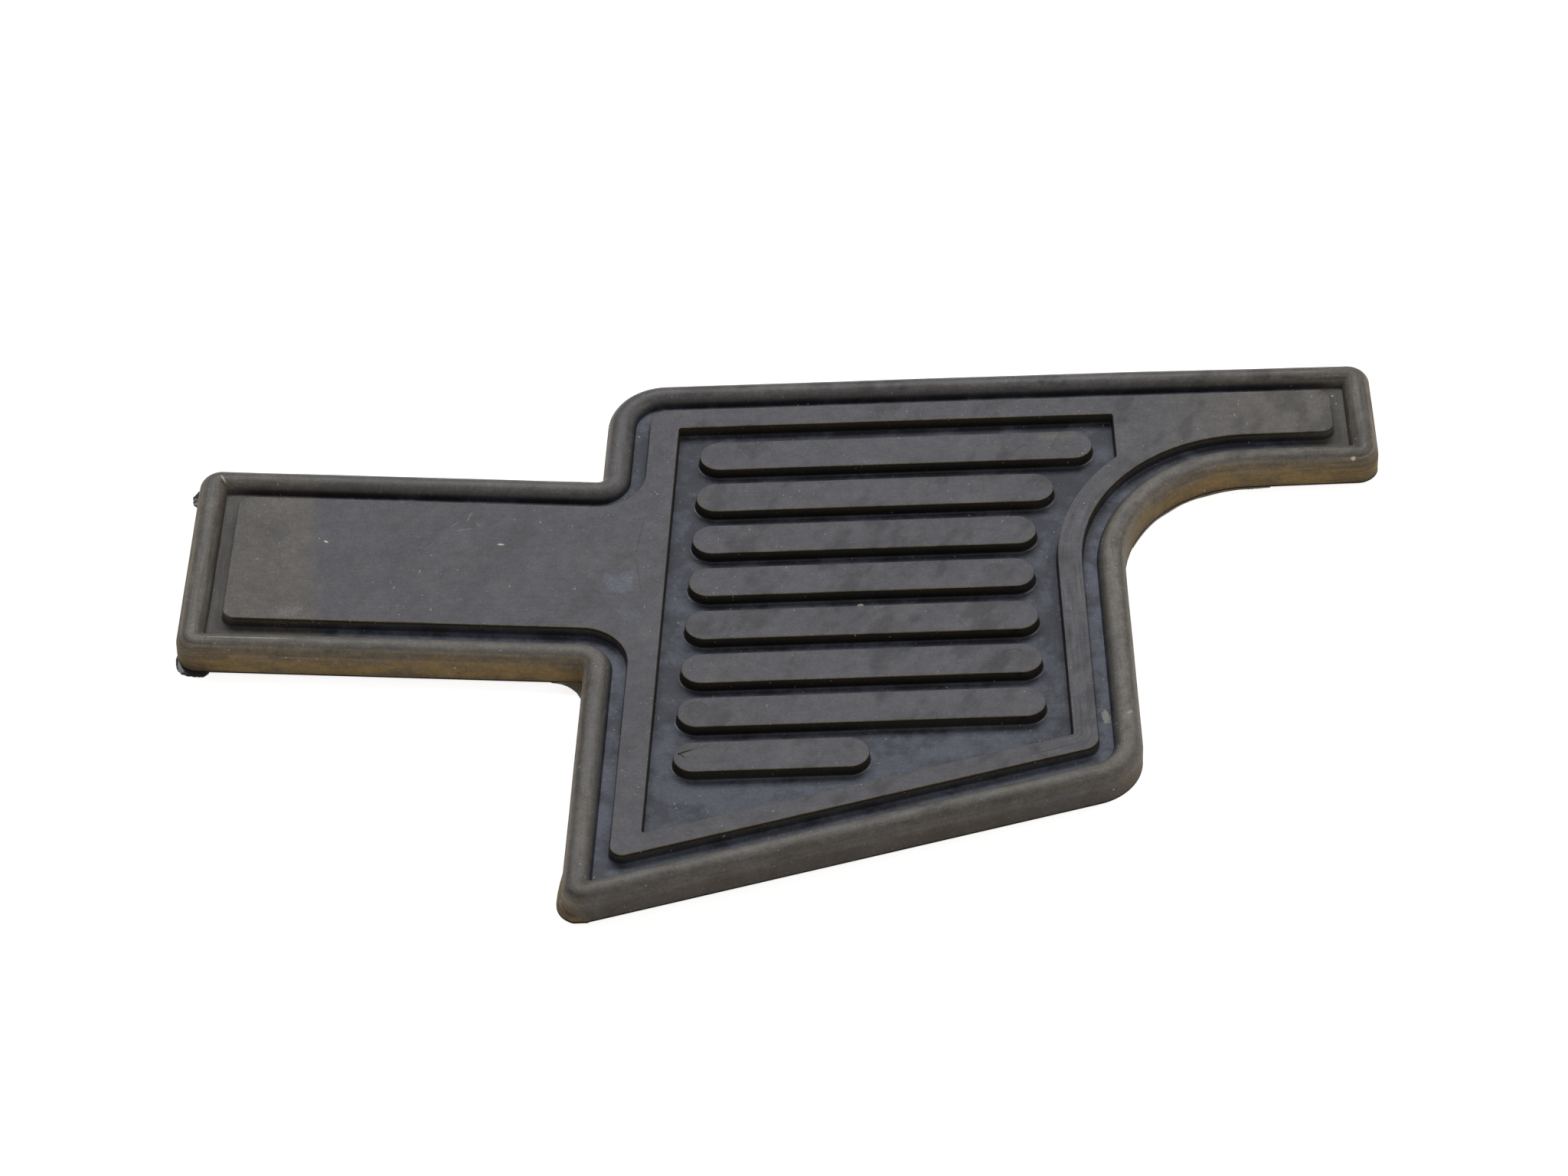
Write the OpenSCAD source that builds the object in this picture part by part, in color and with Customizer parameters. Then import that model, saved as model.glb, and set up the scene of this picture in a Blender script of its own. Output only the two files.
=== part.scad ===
// Foot pedal with a ribbed rubber tread moulded over a flat steel plate.
//
// Layout: +X runs along the ribs, +Y away from the user, +Z up through the tread.
// The origin is the middle of the underside, without the flash. Outlines are lists of
// corners [x, y, r], anticlockwise, where r is the radius that rounds the corner.

/* [Body] */
// Length of the far edge, from its virtual left corner to the right side
body_w = 100; // [85:1:125]
// Length of the straight right side, up to the virtual far corner
body_h = 114; // [100:1:140]
// Lean of the left side and the tongue, in degrees
left_lean = 5.1; // [0:0.1:8]
// Slope of the near edge, in degrees
foot_slope = 15.1; // [5:0.1:20]
// Radius of the two large outer corners
large_corner_r = 12; // [9:0.5:20]
// Radius of the small outer corners
small_corner_r = 4.5; // [3:0.1:8]

/* [Arm] */
// Reach of the arm past the right side of the body
arm_reach = 52.6; // [44:0.2:70]
// Depth of the arm, from the far edge to its near side
arm_depth = 30; // [27:0.5:40]
// Radius that leads from the body's right side into the arm
arm_fillet_r = 26.2; // [18:0.2:32]

/* [Tongue] */
// Length of the tongue, square to the left side
tongue_l = 80.4; // [60:0.2:110]
// Width of the tongue
tongue_w = 51.7; // [40:0.1:62]
// Distance along the left side from the far edge to the tongue
tongue_drop = 27.5; // [22:0.5:34]
// Radius of the corners where the tongue meets the body
tongue_root_r = 1; // [0.5:0.1:3]

/* [Section] */
// Height of the whole pedal
total_h = 7; // [6:0.1:10]
// Width of the half-round bead
bead_w = 5.8; // [4:0.1:6]
// Width of the channel between the bead and the raised field
channel_w = 2.8; // [1.5:0.1:4]
// Depth of the channel and of the ribbed pocket
relief_h = 2.4; // [1.5:0.1:2.8]
// Smallest radius of the raised field's outer corners
field_corner_r = 2.5; // [1:0.1:4]

/* [Pocket] */
// Width of the raised strip along the far edge
far_strip_w = 5.4; // [3:0.1:10]
// Width of the raised strip along the left side
left_strip_w = 5.9; // [3:0.1:10]
// Width of the raised strip along the right side and the arm's curve
right_strip_w = 4.9; // [3:0.1:10]
// Width of the raised strip along the near edge
foot_strip_w = 4.7; // [3:0.1:10]

/* [Ribs] */
// Distance from one rib to the next
rib_pitch = 12; // [10:0.5:16]
// Width of a rib
rib_w = 8; // [5:0.1:9]
// Gap between the ribs and the wall of the pocket
rib_gap = 4.6; // [2:0.1:8]

/* [Plate] */
// Thickness of the steel plate
plate_t = 2; // [1:0.1:3]
// Width of the rubber wall outside the plate
skirt_w = 3; // [1.5:0.1:5]
// Clearance between the plate's edge and the rubber
plate_gap = 0.15; // [0.05:0.05:0.4]
// Radius of the plate's outer corners
plate_corner_r = 3; // [1:0.5:6]

/* [Moulding flash] */
// Thickness of the flash left at the foot of the wall
flash_t = 0.4; // [0.2:0.1:0.8]
// Radius of the flash left in the corners where the tongue meets the body
flash_root_r = 6.5; // [3:0.5:9]
// How far the flash left at the tongue's two end corners stands out from the wall
flash_proud = 1.6; // [0.5:0.1:2.5]
// Radius round a point of each end corner within which its flash is left
flash_ear_r = 2.6; // [1:0.1:6]

/* [Hidden] */

// Angle covered by one step of a rounded corner, and of the bead's section, in degrees
arc_step = 7.5;
bead_step = 15;
// Part of a step that an arc may run over before it takes one more, so that rounding
// errors never give one ring of the section more points than the next
step_slack = 0.007;
// Radius left on the bead's inner edge where it turns a tight corner
mitre_r = 0.1;
// How far the flash in the tongue's root corners reaches back into the wall
flash_root = 0.2;
// Where the flash at an end corner is centred, as a part of the way round the corner
ear_place = 2 / 3;
// How far a cut runs past the face that it opens
over = 1;
$fn = 64;

field_inset = bead_w + channel_w;
floor_z = total_h - relief_h;
bead_z = total_h - bead_w / 2;
rib_r = rib_w / 2;

// Directions of the leaning left side (downwards) and of the tongue (outwards)
lean_down = [-sin(left_lean), -cos(left_lean)];
lean_out = [-cos(left_lean), sin(left_lean)];
// Direction of the near edge, from left to right
foot_dir = [cos(foot_slope), sin(foot_slope)];

// Virtual corners, measured from the far left one at [0, 0]
foot_right = [body_w, -body_h];
foot_left = line_cross([0, 0], lean_down, foot_right, foot_dir);
root_far = lean_down * tongue_drop;
root_near = root_far + lean_down * tongue_w;
tongue_far = root_far + lean_out * tongue_l;
tongue_near = root_near + lean_out * tongue_l;

// The outer outline, with the radius of the two corners at the tongue's root
function outline(root_r) = [
    corner([0, 0], large_corner_r),
    corner(root_far, root_r),
    corner(tongue_far, small_corner_r),
    corner(tongue_near, small_corner_r),
    corner(root_near, root_r),
    corner(foot_left, small_corner_r),
    corner(foot_right, large_corner_r),
    corner([body_w, -arm_depth], arm_fillet_r),
    corner([body_w + arm_reach, -arm_depth], small_corner_r),
    corner([body_w + arm_reach, 0], small_corner_r),
];
wall_outline = outline(tongue_root_r);
root_corners = [1, 4];
end_corners = [2, 3];
arm_corner = 7;

// The curve that the pocket shares with the arm's fillet
arm_centre = [body_w + arm_fillet_r, -arm_depth - arm_fillet_r];
pocket_arc_r = arm_fillet_r + field_inset + right_strip_w;
pocket_far_y = -field_inset - far_strip_w;
pocket_right_x = body_w - field_inset - right_strip_w;
// The pocket's far right corner is in line with the body's right side
notch_x = body_w;
notch_angle = 180 - acos((arm_centre.x - notch_x) / pocket_arc_r);

// Points on the lines that bound the pocket on the left and at the near edge
pocket_left_pt = [(field_inset + left_strip_w) / cos(left_lean), 0];
pocket_foot_pt = foot_right + [0, (field_inset + foot_strip_w) / cos(foot_slope)];

pocket_outline = concat(
    [
        line_cross([0, pocket_far_y], [1, 0], pocket_left_pt, lean_down),
        line_cross(pocket_left_pt, lean_down, pocket_foot_pt, foot_dir),
        line_cross([pocket_right_x, 0], [0, 1], pocket_foot_pt, foot_dir),
    ],
    arc_points(arm_centre, pocket_arc_r, 180, notch_angle),
    [[notch_x, pocket_far_y]]
);

// Room that a rib's round end needs from the pocket's wall to its own centre
end_room = rib_gap + rib_r;
rib_first_y = pocket_far_y - end_room;
rib_rows = ceil((rib_first_y - pocket_outline[1].y) / rib_pitch);

// Middle of the underside
wall_points = rounded(wall_outline);
mid = [
    (min([for (p = wall_points) p.x]) + max([for (p = wall_points) p.x])) / 2,
    (min([for (p = wall_points) p.y]) + max([for (p = wall_points) p.y])) / 2,
];

function corner(p, r) = [p.x, p.y, r];
function unit(v) = v / norm(v);
function flat(p) = [p.x, p.y];
// Normal on the left of a direction, which is the inside of an anticlockwise outline
function left_of(v) = [-v.y, v.x];
function turn(a, b) = a.x * b.y - a.y * b.x;

// Where the line through p along u crosses the line through q along v
function line_cross(p, u, q, v) = p + u * turn(q - p, v) / turn(u, v);

// Points of an arc, from one angle to another
function arc_points(c, r, from, to, step = arc_step) =
    let (steps = max(1, ceil(abs(to - from) / step - step_slack)))
    [for (i = [0:steps]) let (a = from + (to - from) * i / steps) c + r * [cos(a), sin(a)]];

// The arc that rounds corner i of an outline, as its points
function bend(line, i) =
    let (
        n = len(line),
        at = flat(line[i]),
        r = line[i][2],
        before = unit(at - flat(line[(i + n - 1) % n])),
        after = unit(flat(line[(i + 1) % n]) - at),
        angle = atan2(turn(before, after), before * after),
        side = sign(angle),
        centre = at - before * r * tan(abs(angle) / 2) + side * r * left_of(before),
        start = atan2(-side * left_of(before).y, -side * left_of(before).x)
    )
    arc_points(centre, r, start, start + angle);

// The points of an outline with its corners rounded
function rounded(line) = [for (i = [0:len(line) - 1]) each bend(line, i)];

// An outline moved inwards by d. Outer corners keep at least the radius least_r.
function inset(line, d, least_r = mitre_r) = [
    for (i = [0:len(line) - 1])
        let (
            n = len(line),
            at = flat(line[i]),
            r = line[i][2],
            before = unit(at - flat(line[(i + n - 1) % n])),
            after = unit(flat(line[(i + 1) % n]) - at),
            moved = line_cross(at + d * left_of(before), before, at + d * left_of(after), after)
        )
        corner(moved, turn(before, after) > 0 ? max(least_r, r - d) : r + d)
];

// Ends of a rib, as the x of its round ends' centres on the row at y
function rib_start(y) = pocket_left_pt.x + end_room / cos(left_lean) + y * tan(left_lean);
function rib_end(y) = min(
    y > arm_centre.y ? notch_x - end_room : pocket_right_x - end_room,
    arc_limit(y - arm_centre.y, pocket_arc_r + end_room),
    pocket_foot_pt.x + (y - pocket_foot_pt.y - end_room / cos(foot_slope)) / tan(foot_slope)
);
// The x at which a rib meets a circle of radius reach round the arm's centre, above that centre
function arc_limit(dy, reach) =
    dy > 0 && dy < reach ? arm_centre.x - sqrt(reach * reach - dy * dy) : notch_x;

// Section of the moulding, as [distance inwards from the wall, height, least corner radius],
// from the foot of the wall, over the bead and the channel to the raised field
bead_foot_angle = asin((floor_z - bead_z) / (bead_w / 2));
section = concat(
    [[0, 0, mitre_r]],
    [
        for (p = arc_points([bead_w / 2, bead_z], bead_w / 2, 180, bead_foot_angle, bead_step))
            [p.x, p.y, mitre_r]
    ],
    [[field_inset, floor_z, field_corner_r], [field_inset, total_h, field_corner_r]]
);

// The moulding without its cuts: the section carried round the whole outline
module moulding() {
    rings = [
        for (s = section)
            [for (p = rounded(inset(wall_outline, s[0], s[2]))) [p.x, p.y, s[1]]]
    ];
    n = len(rings[0]);
    top = len(rings) - 1;
    // Each end is two faces that meet on the line from the arm's inner corner to the far
    // left one, so that the first point of a face sees every other point of it
    cut = len([for (i = [0:arm_corner - 1]) each bend(wall_outline, i)]);
    halves = [[cut, each [0:cut - 1]], [0, each [cut:n - 1]]];
    polyhedron(
        points = [for (ring = rings) each ring],
        faces = concat(
            [
                for (j = [0:top - 1], i = [0:n - 1])
                    let (next = (i + 1) % n)
                    [j * n + i, (j + 1) * n + i, (j + 1) * n + next, j * n + next]
            ],
            halves,
            [for (h = halves) let (m = len(h)) [for (i = [m:-1:1]) top * n + h[i % m]]]
        )
    );
}

// One rib in plan, with round ends centred on the row at y
module rib_shape(y) {
    length = rib_end(y) - rib_start(y);
    if (length > 0) translate([rib_start(y), y]) {
        circle(rib_r);
        translate([0, -rib_r]) square([length, rib_w]);
        translate([length, 0]) circle(rib_r);
    }
}

// The sunken pocket, which leaves the ribs standing
module pocket() {
    translate([0, 0, floor_z]) linear_extrude(relief_h + over) difference() {
        polygon(pocket_outline);
        for (row = [0:rib_rows - 1]) rib_shape(rib_first_y - row * rib_pitch);
    }
}

// Rubber flash left in a corner where the tongue meets the body
module flash_web(i) {
    line = inset(outline(flash_root_r), flash_root);
    linear_extrude(flash_t) polygon(concat([flat(line[i])], bend(line, i)));
}

// Rubber flash left outside an end corner of the tongue
module flash_ear(i) {
    points = bend(wall_outline, i);
    linear_extrude(flash_t) intersection() {
        polygon(rounded(inset(wall_outline, -flash_proud)));
        translate(points[round(ear_place * (len(points) - 1))]) circle(flash_ear_r);
    }
}

module flash() {
    for (i = root_corners) flash_web(i);
    for (i = end_corners) flash_ear(i);
}

module plate_shape(gap) {
    polygon(rounded(inset(wall_outline, skirt_w + gap, plate_corner_r)));
}

// The rubber moulding, with a recess in its underside for the plate
module tread_pad() {
    color("#34343a") translate(-mid) difference() {
        union() {
            moulding();
            flash();
        }
        pocket();
        translate([0, 0, -over]) linear_extrude(plate_t + over) plate_shape(0);
    }
}

// The steel plate, flush with the underside of the rubber
module backing_plate() {
    color("#6f7275") translate(-mid) linear_extrude(plate_t) plate_shape(plate_gap);
}

tread_pad();
backing_plate();
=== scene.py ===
"""Foot pedal with a ribbed rubber tread, moulded over a flat steel plate.

+X runs along the ribs, +Y away from the user and +Z up through the tread. Sizes are in
millimetres until a mesh is made, and in metres from then on.
"""

import logging
import math
import random
from collections.abc import Iterable, Sequence
from dataclasses import dataclass, field
from enum import Enum, IntEnum
from functools import cached_property, reduce
from typing import ClassVar

import bmesh
import bpy
from mathutils import Matrix, Vector, noise
from mathutils.geometry import delaunay_2d_cdt


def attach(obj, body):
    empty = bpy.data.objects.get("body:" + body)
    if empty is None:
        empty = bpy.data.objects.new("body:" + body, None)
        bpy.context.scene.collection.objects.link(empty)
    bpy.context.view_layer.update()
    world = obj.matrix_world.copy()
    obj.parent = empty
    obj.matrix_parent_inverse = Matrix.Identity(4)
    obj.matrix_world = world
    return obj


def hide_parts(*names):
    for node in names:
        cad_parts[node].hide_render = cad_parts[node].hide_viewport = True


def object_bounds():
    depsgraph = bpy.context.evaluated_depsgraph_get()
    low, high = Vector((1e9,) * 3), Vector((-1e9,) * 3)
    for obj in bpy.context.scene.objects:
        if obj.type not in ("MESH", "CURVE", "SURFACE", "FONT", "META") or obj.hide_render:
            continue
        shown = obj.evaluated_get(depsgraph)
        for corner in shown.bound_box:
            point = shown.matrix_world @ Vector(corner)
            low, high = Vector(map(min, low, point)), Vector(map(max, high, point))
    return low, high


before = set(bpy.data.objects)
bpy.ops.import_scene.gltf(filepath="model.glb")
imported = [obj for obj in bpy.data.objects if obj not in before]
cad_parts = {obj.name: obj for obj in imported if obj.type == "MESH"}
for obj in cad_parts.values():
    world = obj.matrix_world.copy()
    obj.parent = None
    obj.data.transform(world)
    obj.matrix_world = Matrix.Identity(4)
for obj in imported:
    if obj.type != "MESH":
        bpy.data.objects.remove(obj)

LOG = logging.getLogger("pedal")
CAD_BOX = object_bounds()
# A millimetre, in metres.
MM = 0.001
# Points closer than this are one, in mm and in metres.
MERGE_MM = 1e-5
MERGE_M = 1e-7
# How far points inside a flat stay from its edge, as a part of their spacing.
EDGE_ROOM = 0.6


# --------------------------------------------------------------------------- small helpers


def smooth(low: float, high: float, value: float) -> float:
    """Returns 0 below low, 1 above high and a smooth step between them."""
    t = min(1.0, max(0.0, (value - low) / (high - low)))
    return t * t * (3.0 - 2.0 * t)


def colour(red: int, green: int, blue: int) -> tuple[float, float, float, float]:
    """Turns a display colour into the linear one that a shader takes.

    Args:
        red: The red, from 0 to 255.
        green: The green, from 0 to 255.
        blue: The blue, from 0 to 255.

    Returns:
        The linear colour, with an alpha of 1.
    """
    parts = [c / 255.0 for c in (red, green, blue)]
    linear = [c / 12.92 if c <= 0.04045 else ((c + 0.055) / 1.055) ** 2.4 for c in parts]
    return (*linear, 1.0)


def unevenness(p: Vector, scale: float, seed: float) -> float:
    """Returns smooth noise from 0 to 1 at a point in mm.

    Args:
        p: The point.
        scale: The size of the noise's features, in mm.
        seed: A number that sets one noise apart from the next.

    Returns:
        The value of the noise.
    """
    at = Vector((p.x / scale + seed, p.y / scale - seed, p.z / scale + 0.37 * seed))
    return min(1.0, max(0.0, 0.5 + 0.5 * noise.noise(at)))


# --------------------------------------------------------------------------- node trees


class Wire:
    """An output of a node, with arithmetic that adds Math nodes to its tree."""

    def __init__(self, graph: "Graph", socket: bpy.types.NodeSocket) -> None:
        """Keeps the tree and the socket."""
        self.graph = graph
        self.socket = socket

    def math(self, operation: str, *values: "Wire | float") -> "Wire":
        """Returns the result of a Math node on the given values."""
        inputs = dict(enumerate(values))
        return self.graph.add("ShaderNodeMath", {"operation": operation}, inputs)

    def __add__(self, other: "Wire | float") -> "Wire":
        """Returns self + other."""
        return self.math("ADD", self, other)

    def __sub__(self, other: "Wire | float") -> "Wire":
        """Returns self - other."""
        return self.math("SUBTRACT", self, other)

    def __rsub__(self, other: float) -> "Wire":
        """Returns other - self."""
        return self.math("SUBTRACT", other, self)

    def __mul__(self, other: "Wire | float") -> "Wire":
        """Returns self * other."""
        return self.math("MULTIPLY", self, other)

    def __rtruediv__(self, other: float) -> "Wire":
        """Returns other / self."""
        return self.math("DIVIDE", other, self)

    def __neg__(self) -> "Wire":
        """Returns -self."""
        return self.math("MULTIPLY", self, -1.0)

    __radd__ = __add__
    __rmul__ = __mul__

    def size(self) -> "Wire":
        """Returns the absolute value."""
        return self.math("ABSOLUTE", self)

    def least(self, other: "Wire | float") -> "Wire":
        """Returns the smaller of self and other."""
        return self.math("MINIMUM", self, other)

    def most(self, other: "Wire | float") -> "Wire":
        """Returns the larger of self and other."""
        return self.math("MAXIMUM", self, other)

    def step(self, low: "Wire | float", high: "Wire | float") -> "Wire":
        """Returns a smooth step from 0 at low to 1 at high."""
        settings = {"interpolation_type": "SMOOTHSTEP"}
        inputs = {"Value": self, "From Min": low, "From Max": high}
        return self.graph.add("ShaderNodeMapRange", settings, inputs)

    def fade(self, full: "Wire | float", none: "Wire | float") -> "Wire":
        """Returns a smooth step from 1 at full down to 0 at none."""
        return 1.0 - self.step(full, none)

    def parts(self) -> tuple["Wire", "Wire", "Wire"]:
        """Returns the x, y and z of a vector."""
        node = self.graph.place("ShaderNodeSeparateXYZ", {}, {0: self})
        return tuple(Wire(self.graph, s) for s in node.outputs)


class Graph:
    """A node tree under construction."""

    def __init__(self, tree: bpy.types.NodeTree) -> None:
        """Keeps the tree."""
        self.tree = tree

    @classmethod
    def of(cls, owner: bpy.types.Material | bpy.types.World) -> "Graph":
        """Empties the node tree of a material or of the world.

        Args:
            owner: The material or the world.

        Returns:
            Its tree, with no node in it.
        """
        owner.use_nodes = True
        owner.node_tree.nodes.clear()
        return cls(owner.node_tree)

    def place(self, kind: str, settings: dict, inputs: dict) -> bpy.types.Node:
        """Adds a node.

        Args:
            kind: The node's type.
            settings: Its properties, which are set before its sockets.
            inputs: Values or wires by the socket's name or number.

        Returns:
            The node.
        """
        node = self.tree.nodes.new(kind)
        for name, value in settings.items():
            setattr(node, name, value)
        for key, value in inputs.items():
            socket = self.socket(node, key)
            if isinstance(value, Wire):
                self.tree.links.new(value.socket, socket)
            else:
                socket.default_value = value
        return node

    def add(self, kind: str, settings: dict, inputs: dict, output: str | int = 0) -> Wire:
        """Adds a node as place does.

        Args:
            kind: The node's type.
            settings: Its properties.
            inputs: Values or wires by the socket's name or number.
            output: The output's name, or its number among those in use.

        Returns:
            The output.
        """
        node = self.place(kind, settings, inputs)
        if isinstance(output, int):
            output = [i for i, s in enumerate(node.outputs) if s.enabled][output]
        return Wire(self, node.outputs[output])

    @staticmethod
    def socket(node: bpy.types.Node, key: str | int) -> bpy.types.NodeSocket:
        """Returns an input socket in use, by its name or its number."""
        if isinstance(key, int):
            return node.inputs[key]
        return next(s for s in node.inputs if s.enabled and key in (s.name, s.identifier))

    def mix(
        self, amount: Wire | float, first: Wire | tuple, second: Wire | tuple, blend: str = "MIX"
    ) -> Wire:
        """Mixes two colours.

        Args:
            amount: How far the result is the second colour, from 0 to 1.
            first: The first colour.
            second: The second colour.
            blend: The way in which the second one is laid over the first.

        Returns:
            The mixed colour.
        """
        settings = {"data_type": "RGBA", "blend_type": blend}
        inputs = {"Factor_Float": amount, "A_Color": first, "B_Color": second}
        return self.add("ShaderNodeMix", settings, inputs)

    def shade(self, first: Wire, by: Wire) -> Wire:
        """Returns a colour multiplied by a grey value."""
        grey = self.add("ShaderNodeCombineColor", {}, {0: by, 1: by, 2: by})
        return self.mix(1.0, first, grey, "MULTIPLY")

    def vector(self, operation: str, first: Wire, second: Wire | Sequence[float]) -> Wire:
        """Returns the result of a Vector Math node on two vectors."""
        return self.add("ShaderNodeVectorMath", {"operation": operation}, {0: first, 1: second})

    def scaled(self, first: Wire, by: float) -> Wire:
        """Returns a vector multiplied by a number."""
        return self.add("ShaderNodeVectorMath", {"operation": "SCALE"}, {0: first, "Scale": by})

    def place_in_mm(self) -> Wire:
        """Returns the place on the object, in mm."""
        return self.scaled(self.add("ShaderNodeTexCoord", {}, {}, "Object"), 1.0 / MM)

    def noise(self, at: Wire, size: float, detail: float = 3.0, rough: float = 0.55) -> Wire:
        """Makes noise from about 0 to 1.

        Args:
            at: The place, in mm.
            size: The size of the noise's features, in mm.
            detail: How many finer layers it has.
            rough: How strong each finer layer is beside the one before.

        Returns:
            The noise.
        """
        inputs = {"Vector": at, "Scale": 1.0 / size, "Detail": detail, "Roughness": rough}
        return self.add("ShaderNodeTexNoise", {}, inputs)

    def specks(self, at: Wire, cell: float, size: float, share: float) -> Wire:
        """Returns 1 on scattered specks and 0 elsewhere.

        Args:
            at: The place, in mm.
            cell: The distance between the points that may carry a speck, in mm.
            size: The radius of the largest specks, in mm.
            share: The part of the points that carries one.

        Returns:
            The mask.
        """
        cells = self.place("ShaderNodeTexVoronoi", {}, {"Vector": at, "Scale": 1.0 / cell})
        pick = Wire(self, cells.outputs["Color"]).parts()[0]
        radius = (pick - (1.0 - share)).most(0.0) * (size / cell / share)
        return Wire(self, cells.outputs["Distance"]).fade(radius * 0.6 - 0.001, radius + 0.0001)

    def placed(self, at: Wire, shift: Sequence[float], turn: float, scale: Sequence[float]) -> Wire:
        """Moves, turns and scales a place, in that order.

        Args:
            at: The place.
            shift: The point that becomes the origin.
            turn: The angle about Z that becomes the direction of X, in degrees.
            scale: What each axis is multiplied by.

        Returns:
            The new place.
        """
        inputs = {"Vector": self.vector("SUBTRACT", at, shift), "Angle": math.radians(-turn)}
        turned = self.add("ShaderNodeVectorRotate", {"rotation_type": "Z_AXIS"}, inputs)
        return self.vector("MULTIPLY", turned, scale)

    def drawn(self, at: Wire, scale: Sequence[float], turn: float = 0.0) -> Wire:
        """Returns a place turned about Z and scaled, with the origin where it is."""
        return self.placed(at, (0.0, 0.0, 0.0), turn, scale)


# --------------------------------------------------------------------------- plan of the pedal


@dataclass(frozen=True)
class Corner:
    """A corner of an outline in plan, with the radius that rounds it, in mm."""

    x: float
    y: float
    r: float = 0.0

    @property
    def at(self) -> Vector:
        """Returns the corner's place."""
        return Vector((self.x, self.y))


@dataclass(frozen=True)
class Loop:
    """A closed outline, anticlockwise, given by its corners."""

    corners: tuple[Corner, ...]

    def turn_at(self, i: int) -> tuple[Vector, Vector, float]:
        """Looks along the loop at a corner.

        Args:
            i: The corner's number.

        Returns:
            The directions before and after it, and the angle between them.
        """
        n = len(self.corners)
        at = self.corners[i].at
        before = (at - self.corners[i - 1].at).normalized()
        after = (self.corners[(i + 1) % n].at - at).normalized()
        return before, after, math.atan2(before.cross(after), before.dot(after))

    def inset(self, d: float, least: float = 0.0) -> "Loop":
        """Returns the loop moved inwards.

        Args:
            d: How far it moves, or outwards where it is negative.
            least: The smallest radius of a corner that turns left.

        Returns:
            The moved loop, with as many corners.
        """
        corners = []
        for i, corner in enumerate(self.corners):
            before, after, angle = self.turn_at(i)
            inward = Vector((-before.y, before.x)) + Vector((-after.y, after.x))
            at = corner.at + inward * (d / (1.0 + before.dot(after)))
            r = corner.r
            if r > 0.0:
                r = max(least, r - d) if angle > 0.0 else r + d
            corners.append(Corner(at.x, at.y, r))
        return Loop(tuple(corners))

    def bend(self, i: int, steps: int) -> list[Vector]:
        """Rounds a corner.

        Args:
            i: The corner's number.
            steps: The number of steps of its arc, or 0 where it stays sharp.

        Returns:
            The points of the arc.
        """
        corner = self.corners[i]
        before, after, angle = self.turn_at(i)
        if steps == 0:
            return [corner.at]
        side = math.copysign(1.0, angle)
        left = Vector((-before.y, before.x))
        centre = corner.at - before * corner.r * math.tan(abs(angle) / 2) + left * side * corner.r
        arm = left * -side * corner.r
        return [centre + Matrix.Rotation(angle * k / steps, 2) @ arm for k in range(steps + 1)]

    def plan(self, step: float, spacing: float) -> list[tuple[int, int]]:
        """Says how finely each corner's arc and the side after it are divided.

        Args:
            step: The largest angle of one step of an arc, in degrees.
            spacing: The largest distance between points on a side, in mm.

        Returns:
            The number of steps of each arc and of the side after it.
        """
        counts = []
        for i, corner in enumerate(self.corners):
            angle = abs(math.degrees(self.turn_at(i)[2]))
            length = (self.corners[(i + 1) % len(self.corners)].at - corner.at).length
            steps = math.ceil(angle / step) if corner.r else 0
            counts.append((steps, max(1, math.ceil(length / spacing))))
        return counts

    def points(self, plan: Sequence[tuple[int, int]]) -> list[Vector]:
        """Divides the loop.

        Args:
            plan: The number of steps of each corner's arc and of the side after it.

        Returns:
            The points, in order.
        """
        bends = [self.bend(i, steps) for i, (steps, _) in enumerate(plan)]
        points = []
        for i, (_, parts) in enumerate(plan):
            points += bends[i]
            start, end = bends[i][-1], bends[(i + 1) % len(bends)][0]
            points += [start.lerp(end, k / parts) for k in range(1, parts)]
        return points


def crossing(p: Vector, u: Vector, q: Vector, v: Vector) -> Vector:
    """Returns where the line through p along u crosses the line through q along v."""
    return p + u * ((q - p).cross(v) / u.cross(v))


def inside(point: Vector, ring: Sequence[Vector]) -> bool:
    """Tells whether a point lies inside a closed ring.

    Args:
        point: The point.
        ring: The ring's points, in order.

    Returns:
        True where it does.
    """
    found = False
    for a, b in zip(ring, [*ring[1:], ring[0]]):
        if (a.y > point.y) != (b.y > point.y):
            if point.x < a.x + (point.y - a.y) / (b.y - a.y) * (b.x - a.x):
                found = not found
    return found


class At(IntEnum):
    """The corners of the outline, anticlockwise."""

    BODY_FAR_LEFT = 0
    ROOT_FAR = 1
    TONGUE_FAR = 2
    TONGUE_NEAR = 3
    ROOT_NEAR = 4
    BODY_NEAR_LEFT = 5
    BODY_NEAR_RIGHT = 6
    ARM_FILLET = 7
    ARM_NEAR = 8
    ARM_FAR = 9


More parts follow.
